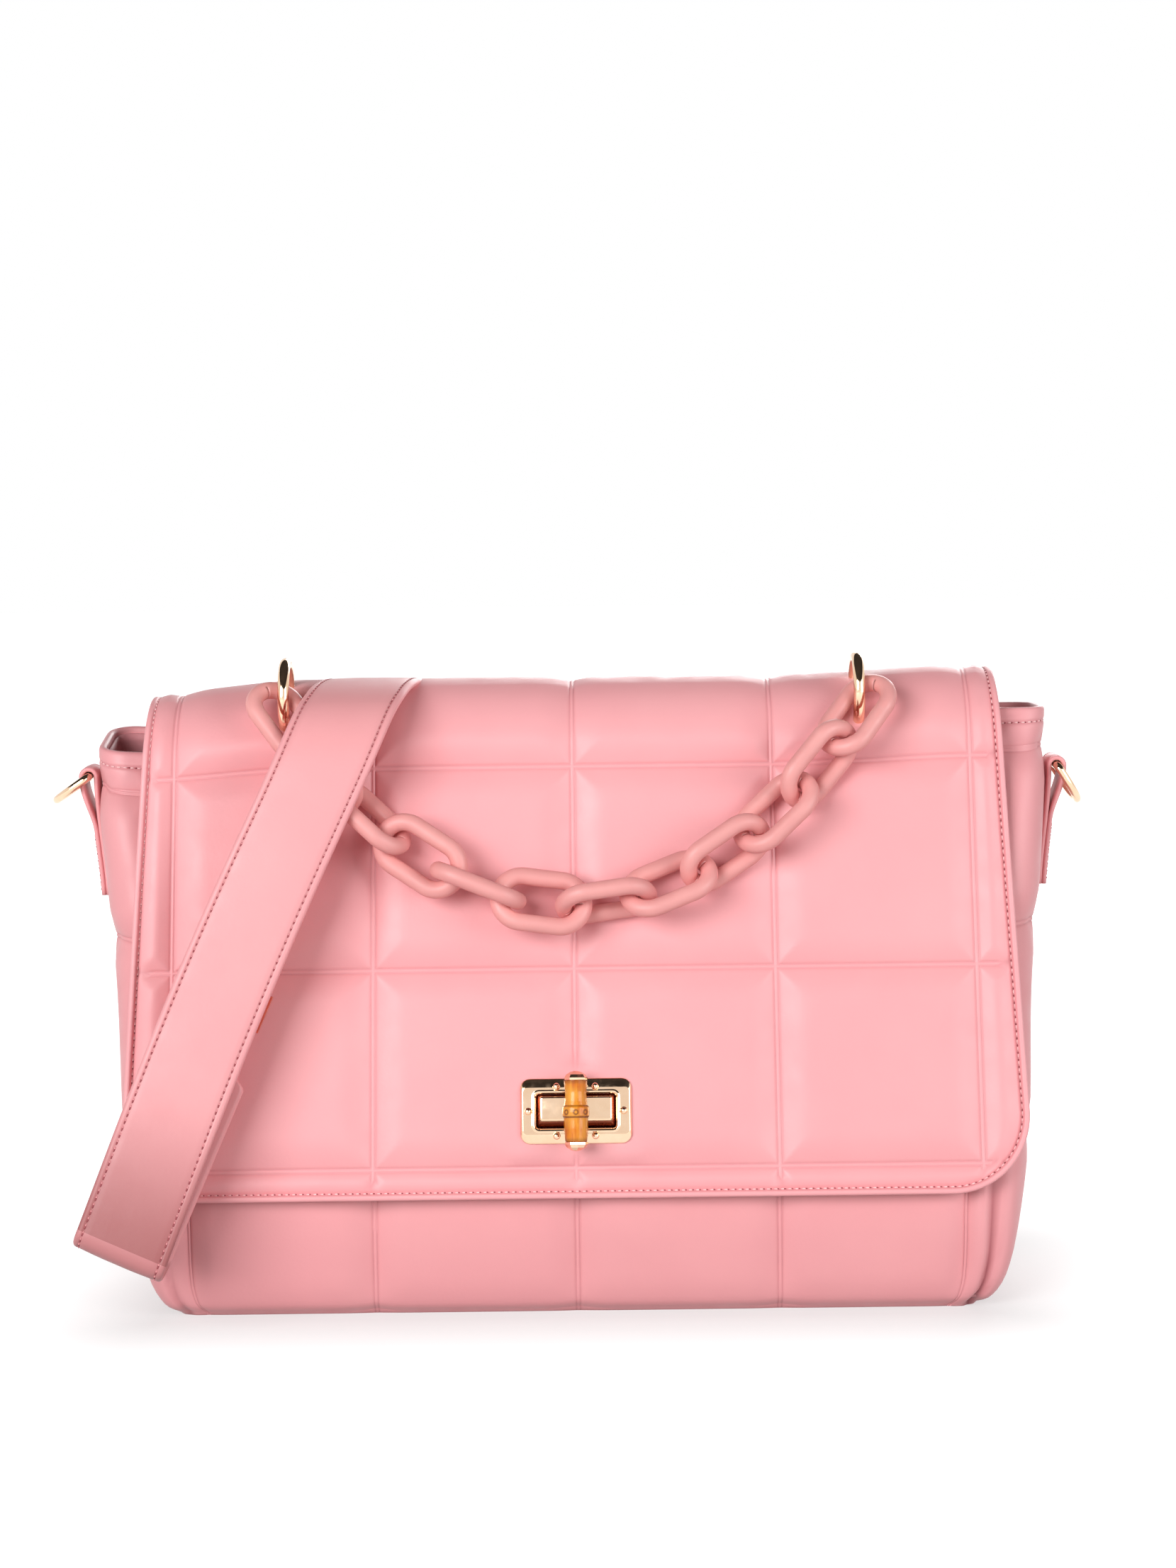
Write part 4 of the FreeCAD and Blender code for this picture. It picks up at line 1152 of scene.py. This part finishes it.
def set_on_points(group, given, out, inputs):
    """Ends a tree: one piece on each point, made real and smooth, with its material."""
    placed = add_node(group, "GeometryNodeInstanceOnPoints", inputs)
    real = add_node(group, "GeometryNodeRealizeInstances", {"Geometry": placed.outputs["Instances"]})
    smooth = add_node(group, "GeometryNodeSetShadeSmooth", {"Geometry": real.outputs["Geometry"]})
    finish = add_node(group, "GeometryNodeSetMaterial", {
        "Geometry": smooth.outputs["Geometry"], "Material": given.outputs["Material"]})
    set_inputs(group, out, {"Geometry": finish.outputs["Geometry"]})


def bead(group, segments, rings):
    """Ball of radius 1, which a scale turns into a stitch or a rivet's head."""
    inputs = {"Segments": segments, "Rings": rings, "Radius": 1.0}
    return add_node(group, "GeometryNodeMeshUVSphere", inputs).outputs["Mesh"]


def rotation(group, euler):
    return add_node(group, "FunctionNodeEulerToRotation", {"Euler": euler}).outputs["Rotation"]


def stitch_tree():
    """Short rounded stitches set along the edges of a path."""
    group, given, out = new_tree("stitch_row", (
        ("Pitch", "Float"), ("Size", "Vector"), ("Material", "Material")))
    curve = add_node(group, "GeometryNodeMeshToCurve", {"Mesh": given.outputs["Geometry"]})
    row = add_node(group, "GeometryNodeResampleCurve", mode="LENGTH")
    set_inputs(group, row, {"Curve": curve.outputs["Curve"], "Length": given.outputs["Pitch"]})
    tangent = add_node(group, "GeometryNodeInputTangent").outputs["Tangent"]
    align = add_node(group, "FunctionNodeAlignRotationToVector", {"Vector": tangent}, axis="X")
    set_on_points(group, given, out, {
        "Points": row.outputs["Curve"], "Instance": bead(group, 8, 5),
        "Rotation": align.outputs["Rotation"], "Scale": given.outputs["Size"]})
    return group


def link_tree():
    """Stadium links set on points that carry their own turn."""
    group, given, out = new_tree("chain_links", (
        ("Run", "Float"), ("Span", "Float"), ("Wire", "Float"), ("Material", "Material")))
    outline = add_node(group, "GeometryNodeCurvePrimitiveQuadrilateral", {
        "Width": given.outputs["Run"], "Height": given.outputs["Span"]})
    bend = add_node(group, "GeometryNodeFilletCurve", mode="POLY")
    almost_half = 0.4995
    set_inputs(group, bend, {
        "Curve": outline.outputs["Curve"], "Count": 14,
        "Radius": maths(group, "MULTIPLY", given.outputs["Span"], almost_half)})
    section = add_node(group, "GeometryNodeCurvePrimitiveCircle", {
        "Resolution": 24, "Radius": maths(group, "MULTIPLY", given.outputs["Wire"], 0.5)})
    skin = add_node(group, "GeometryNodeCurveToMesh", {
        "Curve": bend.outputs["Curve"], "Profile Curve": section.outputs["Curve"]})
    turn = add_node(group, "GeometryNodeInputNamedAttribute", data_type="FLOAT_VECTOR")
    set_inputs(group, turn, {"Name": "turn"})
    set_on_points(group, given, out, {
        "Points": given.outputs["Geometry"], "Instance": skin.outputs["Mesh"],
        "Rotation": rotation(group, turn.outputs["Attribute"])})
    return group


def rivet_tree():
    """Domed rivet heads set on points."""
    group, given, out = new_tree("rivet_heads", (
        ("Head", "Vector"), ("Turn", "Vector"), ("Material", "Material")))
    set_on_points(group, given, out, {
        "Points": given.outputs["Geometry"], "Instance": bead(group, 16, 10),
        "Rotation": rotation(group, given.outputs["Turn"]), "Scale": given.outputs["Head"]})
    return group


def grow(piece, group, values):
    """Runs a tree on a piece, keeps the result as a plain mesh and removes the modifier."""
    modifier = piece.modifiers.new(group.name, "NODES")
    modifier.node_group = group
    for item in group.interface.items_tree:
        if item.item_type == "SOCKET" and item.in_out == "INPUT" and item.name in values:
            modifier[item.identifier] = values[item.name]
    bpy.context.view_layer.update()
    depsgraph = bpy.context.evaluated_depsgraph_get()
    plain = bpy.data.meshes.new_from_object(piece.evaluated_get(depsgraph), depsgraph=depsgraph)
    piece.modifiers.remove(modifier)
    piece.data = plain
    plain.name = piece.name
    return piece


def seed_piece(name, points, edges=()):
    """Points and edges in millimetres for a tree to grow on."""
    mesh = bpy.data.meshes.new(name)
    mesh.from_pydata((np.asarray(points, float) * MM).tolist(), edges, [])
    return place_mesh(name, mesh)


def path_piece(name, paths):
    """Edges along open paths."""
    points = []
    edges = []
    for path in paths:
        first = len(points)
        points.extend(path)
        edges.extend((first + i, first + i + 1) for i in range(len(path) - 1))
    return seed_piece(name, points, edges)


def even_path(path, start):
    """Path without its first stretch, so that a second row falls between the first one's stitches."""
    path = np.asarray(path, float)
    runs = path_runs(path)
    first = [np.interp(start, runs, path[:, axis]) for axis in range(3)]
    return np.concatenate([[first], path[runs > start]])


stitches = stitch_tree()


def stitch_rows(name, paths, thread_finish=thread, thread_half=0.82, dent_half=0.5):
    """Light thread, and between its stitches dark beads of painted shade for the needle dents, along the same
    paths.
    """
    # The dents are dark beads of painted shade, set halfway between the stitches.
    dent_paths = [even_path(path, stitch_pitch / 2) for path in paths]
    rows = []
    for label, lines, size, finish in (
            ("_thread", paths, (thread_half, 0.32, 0.3), thread_finish),
            ("_painted_shade_dents", dent_paths, (dent_half, 0.3, 0.3), stitch_dent_painted_shade)):
        values = {"Pitch": stitch_pitch * MM, "Size": tuple(s * MM for s in size), "Material": finish}
        rows.append(grow(path_piece(name + label, lines), stitches, values))
    return rows


def link_place(node):
    """Middle of a link's solid and its turn, from the solid's own long, wide and flat ways."""
    points = np.array([tuple(v.co) for v in node.data.vertices]) / MM
    points = np.unique(points.round(4), axis=0)
    middle = points.mean(axis=0)
    axes = np.linalg.svd(points - middle, full_matrices=False)[2]
    for axis in axes:
        reach = (points - middle) @ axis
        middle = middle + axis * 0.5 * (reach.max() + reach.min())
    turn = Matrix(np.column_stack([axes[0], axes[1], np.cross(axes[0], axes[1])]).tolist())
    return middle, tuple(turn.to_euler())


def make_chain(link_names):
    """The twelve links, each turned as its solid is."""
    centres, turns = zip(*(link_place(nodes[name]) for name in link_names))
    piece = seed_piece("resin_chain", centres)
    attribute = piece.data.attributes.new("turn", "FLOAT_VECTOR", "POINT")
    attribute.data.foreach_set("vector", np.array(turns, np.float32).reshape(-1))
    values = {"Run": link_run * MM, "Span": link_span * MM, "Wire": link_wire * MM, "Material": resin}
    return grow(piece, link_tree(), values)


# Lock

def lock_place(across, up, out):
    """Points in the lock's own frame, which lies on the flap's face."""
    across, up, out = np.broadcast_arrays(np.asarray(across, float), up, out)
    return lock_origin + across[..., None] * level + up[..., None] * face_up + out[..., None] * face_out


def rounded_ring(half_x, half_y, radius, out, rise=0.0):
    """Rectangle with round corners in the lock's frame."""
    outline = []
    for centre_x, centre_y, start in ((1, -1, -90), (1, 1, 0), (-1, 1, 90), (-1, -1, 180)):
        for turn in np.radians(np.linspace(start, start + 90, 8)):
            outline.append((centre_x * (half_x - radius) + radius * math.cos(turn),
                            centre_y * (half_y - radius) + radius * math.sin(turn)))
    outline = np.array(outline)
    return lock_place(outline[:, 0], outline[:, 1] + rise, out)


def make_plate():
    """Rectangular plate with softened edges round a window."""
    edge = ((0, 0, 0), (0, 0, 0.6), (0.12, 0.12, 0.78), (0.3, 0.9, 1.05), (0.45, 1.8, 1.3), (0.6, 2.6, 1.47),
            (0.8, 3.1, 1.57), (1.0, 3.3, plate_thick), (1.3, 3.4, plate_thick))
    frame_edge = ((1.75, 1.5, plate_thick), (1.4, 1.4, plate_thick), (1.2, 1.2, 1.78), (0.95, 0.95, 1.88),
                  (0.75, 0.75, 1.85), (0.4, 0.4, 1.62), (0.1, 0.1, 1.38), (0, 0, 1.2), (0, 0, 0))
    rings = []
    for side, end, out in edge:
        rings.append(rounded_ring(plate_half[0] - side, plate_half[1] - end, plate_corner - 0.6 * end, out))
    for side, end, out in frame_edge:
        rings.append(rounded_ring(window_half[0] + side, window_half[1] + end, window_corner + end, out))
    points, faces = hoop(rings)
    return make_piece("lock_plate_gold", points, faces, [gold])


def make_boss():
    """Raised boss in the window, with painted shadow in the groove round its foot."""
    gap = 0.05
    rings = [rounded_ring(window_half[0] - gap, window_half[1] - gap, 1.1, out) for out in (0, 0.35)]
    for inset, out in ((-0.1, 0.35), (0, 0.5), (0, 2.1), (0.12, 2.38), (0.35, 2.54), (0.7, 2.6)):
        rings.append(rounded_ring(boss_half[0] - inset, boss_half[1] - inset, 0.8, out, boss_rise))
    points, faces = capped_loft(rings)
    around = len(rings[0])
    # The groove's faces get the painted shadow gold.
    finishes = [int(around <= i < 2 * around) for i in range(len(faces))]
    return make_piece("lock_boss_gold", points, faces, [gold, painted_shadow_gold], finishes)


def make_bar():
    """Bamboo bar with a swollen node, and its upper and lower gold caps."""
    origin = lock_place(0, 0, bar_out)
    places = (-10.5, -9.6, -6.0, -3.2, -2.3, -1.8, -0.3, 1.2, 1.9, 3.4, 6.6, 9.4, 10.5)
    radii = (3.85, 3.95, 4.2, 4.25, 4.3, 4.7, 4.8, 4.7, 4.2, 3.9, 3.7, 4.1, 4.2)
    profile = [(along, np.interp(along, places, radii)) for along in np.linspace(-bar_half, bar_half, 127)]
    points, faces = lathe(profile, origin, face_up, level, 96)
    along = (points - origin) @ face_up
    around = np.arctan2((points - origin) @ face_out, (points - origin) @ level)
    # The rings at the node are the bamboo's own darker colour, it darkens towards the ends, and the cos term
    # is painted shade on the bar's left and right sides.
    shade = 0.7 * band(along - 1.75, 0.3) + 0.9 * band(along + 2.1, 0.35)
    shade += 0.5 * ramp(8.8, 10.4, np.abs(along)) + 0.4 * np.cos(around) ** 4
    # The dots of the buds round the node are the bamboo's own colour.
    bud_turn = math.pi / 4
    turn = (around + 0.5 * bud_turn) % bud_turn - 0.5 * bud_turn
    bud = np.hypot(turn * 4.65, along + 0.4)
    shade += 0.95 * band(bud - 0.75, 0.28)
    pieces = [make_piece("bamboo_bar_wood", points, faces, [bamboo], None, np.clip(shade, 0, 1))]
    cap_profile = ((bar_half, 3.6), (10.75, 4.1), (11.5, 4.2), (12.6, 3.5), (13.5, 2.0), (13.85, 0.7))
    for name, side in (("bar_cap_upper_gold", 1), ("bar_cap_lower_gold", -1)):
        points, faces = lathe([(side * a, r) for a, r in cap_profile], origin, face_up, level, 9)
        cap = make_piece(name, points, faces, [gold])
        cap.data.polygons.foreach_set("use_smooth", [False] * len(cap.data.polygons))
        pieces.append(cap)
    return pieces


def make_rivets():
    """Six rivet heads on the plate."""
    centres = ((-16.9, 0), (16.9, 0), (-6.85, 8.55), (6.85, 8.55), (-6.85, -8.55), (6.85, -8.55))
    piece = seed_piece("lock_rivet_heads", [lock_place(x, y, plate_thick) for x, y in centres])
    values = {"Head": (1.35 * MM, 1.35 * MM, 1.2 * MM), "Turn": (math.pi / 2 - lean, 0, 0), "Material": gold}
    return grow(piece, rivet_tree(), values)


# Rings and tabs

def make_top_ring(name, x):
    """Round ring through the flap's punched holes."""
    outward = np.array((0, math.cos(top_ring_turn), math.sin(top_ring_turn)))
    centre = np.array((x, crest_y, crest_z)) + outward * (crest_radius + top_ring_stand)
    turns = np.linspace(0, math.tau, 72, endpoint=False)
    circle = np.column_stack([0 * turns, np.cos(turns), np.sin(turns)])
    points, faces = tube(centre + top_ring_radius * circle, top_ring_wire / 2, 20)
    return make_piece(name, points, faces, [gold])


def make_side_ring(name, side, degrees):
    """D-shaped ring with its bar in the tab."""
    half = side_ring_half
    bend = side_ring_bend
    arm = side_ring_reach - half - side_ring_wire / 2
    turn = math.radians(degrees)
    along = np.array((side * math.sin(turn), 0, -math.cos(turn)))
    origin = np.array((side * side_bar_x, 0, side_bar_z))
    path = [(0, b) for b in np.linspace(bend - half, half - bend, 14)]
    path += [(bend - bend * math.cos(t), half - bend + bend * math.sin(t)) for t in np.linspace(0.2, 1.37, 6)]
    path += [(a, half) for a in np.linspace(bend, arm, 4)]
    path += [(arm + half * math.sin(t), half * math.cos(t)) for t in np.linspace(0.06, math.pi - 0.06, 36)]
    path += [(a, -half) for a in np.linspace(arm, bend, 4)]
    path += [(bend - bend * math.cos(t), bend - half - bend * math.sin(t)) for t in np.linspace(1.37, 0.2, 6)]
    places = [origin + along * a + backwards * b for a, b in path]
    points, faces = tube(places, side_ring_wire / 2, 16)
    return make_piece(name, points, faces, [gold])


def tab_x(z, plies):
    """Place across on a tab's stitched part, some plies out from the gusset, towards which it leans."""
    return tab_wall_x - 4.4 * (1 - ramp(140, 192, z)) + plies * tab_ply


def tab_rows():
    """A tab's ply as (x, z) and its outward way: up outside, round the ring's bar and down inside."""
    rows = [(tab_x(z, 1.5), z, 1.0, 0.0) for z in np.linspace(tab_foot_z, tab_bend_z, 10)]
    for step in np.linspace(0.12, 1, 10):
        z = tab_bend_z + (side_bar_z - tab_bend_z) * step
        x = tab_x(z, 1.5)
        x += (side_bar_x + tab_bar_mid - x) * ramp(0, 1, step)
        rows.append((x, z, 1.0, -0.12 * math.sin(math.pi * step)))
    for turn in np.linspace(0, math.pi, 14)[1:-1]:
        out_x = math.cos(turn)
        out_z = math.sin(turn)
        rows.append((side_bar_x + tab_bar_mid * out_x, side_bar_z + tab_bar_mid * out_z, out_x, out_z))
    rows += [(tab_x(z, 0.5) + 0.03, z, -1.0, 0.0) for z in np.linspace(side_bar_z, tab_foot_z, 14)]
    return rows


def make_tab(name, side):
    """Leather tab folded round the bar of a side ring, as a closed strip with rounded edges."""
    thick = 0.83
    right = round_edge(tab_half, thick, 7)
    right += [(tab_half - 1.6, thick), (tab_half - 2.0, thick - 0.25), (tab_half - 2.4, thick)]
    section = strip_section(right, (0, thick + 0.15), [(0, -thick)])
    rings = []
    for x, z, out_x, out_z in tab_rows():
        outward = unit(np.array((side * out_x, 0, out_z)))
        middle = np.array((side * x, 0, z))
        rings.append(middle + np.outer(section[:, 0], side * backwards) + np.outer(section[:, 1], outward))
    points, faces = capped_loft(rings)
    return make_piece(name, points, faces, [strap_leather])


def tab_seam(side):
    """Stitch line round the outside of a tab's stitched part."""
    corners = ((-6.0, 168), (-6.0, 148.5), (6.0, 148.5), (6.0, 168))
    path = []
    for (y0, z0), (y1, z1) in zip(corners, corners[1:]):
        for t in np.linspace(0, 1, 12):
            z = z0 + (z1 - z0) * t
            path.append((side * (tab_x(z, 2) + 0.1), y0 + (y1 - y0) * t, z))
    return path


# Making and placing the pieces

def dress(piece, body, replaced=()):
    """Puts a piece on its body and the nodes that it stands for."""
    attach(piece, body)
    if replaced:
        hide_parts(*replaced)


flap = make_flap()
dress(flap, "flap", ("flap_panel", "flap_lining"))
for row in stitch_rows("flap_stitches", [flap_seam()]):
    dress(row, "flap")

shell = make_shell()
dress(shell, "bag", ("base_panel", "front_panel", "back_panel", "left_gusset", "right_gusset"))
dress(make_lining(), "bag", ("lining",))
dress(make_facing(), "bag", ("mouth_facing",))
for row in stitch_rows("hem_stitches", [hem_seam()]):
    dress(row, "bag")

chain_links = sorted(name for name in nodes if name.startswith("chain_link_"))
dress(make_chain(chain_links), "chain", chain_links)

front_stations, front_painted_shade = front_strap_stations()
rear_stations = rear_strap_stations()
rear_painted_shade = [0.0] * len(rear_stations)
front_bend = ((-0.070, -0.010, 0.227), (-0.080, -0.052, 0.205))
rear_bend = ((-0.067, 0.040, 0.182), (-0.070, 0.005, 0.226))
front_strap = ribbon("strap_front_leather", front_stations, front_painted_shade)
rear_strap = ribbon("strap_rear_leather", rear_stations, rear_painted_shade)
strap_parts = (
    (front_strap, front_stations, "strap_front_stitches", "flap", "chain", front_bend, ("strap_front",)),
    (rear_strap, rear_stations, "strap_rear_stitches", "bag", "flap", rear_bend,
     ("strap_crest", "strap_back")),
)
for piece, stations, label, first, second, bend, replaced in strap_parts:
    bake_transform(piece)
    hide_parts(*replaced)
    for row in stitch_rows(label, strap_seams(stations), strap_thread, strap_thread_half, strap_dent_half):
        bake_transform(row)

bar, upper_cap, lower_cap = make_bar()
small_pieces = (
    (make_plate(), "flap", "lock_plate", "gold"),
    (make_boss(), "flap", "lock_base", "gold"),
    (make_rivets(), "flap", "lock_rivets", "gold"),
    (bar, "lock_bar", "bamboo_bar", "bamboo"),
    (upper_cap, "lock_bar", "bar_cap_upper", "gold"),
    (lower_cap, "lock_bar", "bar_cap_lower", "gold"),
    (make_top_ring("left_top_ring_gold", -top_ring_x), "left_top_ring", "left_top_ring", "gold"),
    (make_top_ring("right_top_ring_gold", top_ring_x), "right_top_ring", "right_top_ring", "gold"),
    (make_side_ring("left_side_ring_gold", -1, 55.0), "left_side_ring", "left_side_ring", "gold"),
    (make_side_ring("right_side_ring_gold", 1, 32.0), "right_side_ring", "right_side_ring", "gold"),
    (make_tab("left_tab_leather", -1), "bag", "left_tab", "strap_leather"),
    (make_tab("right_tab_leather", 1), "bag", "right_tab", "strap_leather"),
)
for piece, body, node, slot in small_pieces:
    dress(piece, body, (node,))

for label, side in (("left_tab_stitches", -1), ("right_tab_stitches", 1)):
    for row in stitch_rows(label, [tab_seam(side)]):
        dress(row, "bag")

kept_finishes = {
    "lock_back_plate": steel, "lock_spindle": gold, "flap_magnet": steel, "body_magnet": steel,
    "base_board": board, "front_hook_eye": gold, "front_hook_hook": gold, "front_hook_gate": gold,
    "back_hook_eye": gold, "back_hook_hook": gold, "back_hook_gate": gold,
}
for name, material in kept_finishes.items():
    mesh = nodes[name].data
    mesh.materials.clear()
    mesh.materials.append(material)


# Floor, light and camera, in metres

def stage_sheet(name, corners, material):
    """Level sheet of the studio, which isn't part of the bag."""
    (x0, y0), (x1, y1), z = corners
    mesh = bpy.data.meshes.new(name)
    mesh.from_pydata([(x0, y0, z), (x1, y0, z), (x1, y1, z), (x0, y1, z)], [], [(0, 1, 2, 3)])
    mesh.materials.append(material)
    sheet = place_mesh(name, mesh)
    return sheet


def seen_share(tree):
    """1 for rays of the camera and for reflected and transmitted ones, 0 for the light on the bag."""
    path = tree.nodes.new("ShaderNodeLightPath").outputs
    seen = maths(tree, "MAXIMUM", path["Is Camera Ray"], path["Is Glossy Ray"])
    return maths(tree, "MAXIMUM", seen, path["Is Transmission Ray"])


def vector_maths(tree, operation, first, second=(0, 0, 0)):
    """Node of a sum on two vectors."""
    return add_node(tree, "ShaderNodeVectorMath", {0: first, 1: second}, operation=operation)


def floor_material():
    """White floor that keeps the bag's shadow, with a painted shadow where its glow is weaker close to the
    bag.
    """
    material = bpy.data.materials.new("floor_white")
    tree = empty_tree(material)
    across = vector_maths(tree, "ABSOLUTE", object_coordinate(tree)).outputs["Vector"]
    outside = vector_maths(tree, "SUBTRACT", across, (0.15, 0.05, 0.0)).outputs["Vector"]
    beyond = vector_maths(tree, "MAXIMUM", outside).outputs["Vector"]
    distance = vector_maths(tree, "LENGTH", beyond).outputs["Value"]
    # Painted shadow: the glow rises from 0.54 at the bag's footprint to 1 at 7.5 cm away.
    glow_with_painted_shadow = between(tree, distance, 0.54, 1.0, 0.0, 0.075)
    diffuse = add_node(tree, "ShaderNodeBsdfDiffuse", {"Color": (0.4, 0.4, 0.4, 1)})
    strength = maths(tree, "MULTIPLY", seen_share(tree), glow_with_painted_shadow)
    glow = add_node(tree, "ShaderNodeEmission", {"Strength": strength})
    both = add_node(tree, "ShaderNodeAddShader", {0: diffuse.outputs["BSDF"], 1: glow.outputs["Emission"]})
    add_node(tree, "ShaderNodeOutputMaterial", {"Surface": both.outputs["Shader"]})
    return material


def make_world(strength):
    """White to the camera and in reflections, plain soft light to the rest."""
    world = bpy.data.worlds.new("studio")
    scene.world = world
    tree = empty_tree(world)
    background = add_node(tree, "ShaderNodeBackground", {
        "Color": (1, 1, 1, 1), "Strength": between(tree, seen_share(tree), strength, 1.0, 0, 1)})
    add_node(tree, "ShaderNodeOutputWorld", {"Surface": background.outputs["Background"]})


def make_light(name, place, size, power):
    """Soft light that faces the middle of the bag."""
    data = bpy.data.lights.new(name, "AREA")
    data.shape = "RECTANGLE"
    data.size, data.size_y = size
    data.energy = power
    light = bpy.data.objects.new(name, data)
    light.location = place
    light.rotation_euler = (Vector((0, 0, 0.12)) - Vector(place)).to_track_quat("-Z", "Y").to_euler()
    scene.collection.objects.link(light)


def make_camera():
    """The photograph's view: from the front, a little above the bag, with a slight roll."""
    data = bpy.data.cameras.new("photo_camera")
    data.lens = 74.4
    data.sensor_width = 36.0
    data.shift_y = -0.199
    camera = bpy.data.objects.new("photo_camera", data)
    camera.location = (0.007, -1.2, 0.3)
    roll = Quaternion((0, 0, 1), math.radians(-0.7))
    camera.rotation_euler = (Vector((0, 1, 0)).to_track_quat("-Z", "Y") @ roll).to_euler()
    scene.collection.objects.link(camera)
    scene.camera = camera


stage_sheet("studio_floor", ((-6.0, -6.0), (6.0, 6.0), 0.0), floor_material())
# The dark ceiling is out of view. It keeps light off the top and shows in the metal.
ceiling_dark = plain_material("ceiling_dark", (40, 36, 34), (46, 42, 40), 0.9, 4)
ceiling = stage_sheet("studio_ceiling", ((2.6, -3.0), (-2.6, 2.2), 1.75), ceiling_dark)
ceiling.visible_camera = False
make_world(0.55)
make_light("key_light", (-1.05, -1.6, 0.75), (1.2, 0.9), 32)
make_light("fill_light", (1.45, -1.25, 0.55), (1.2, 1.0), 17)
make_light("back_light", (0.5, 1.7, 0.85), (1.2, 0.9), 20)
make_camera()
scene.view_settings.view_transform = "Standard"
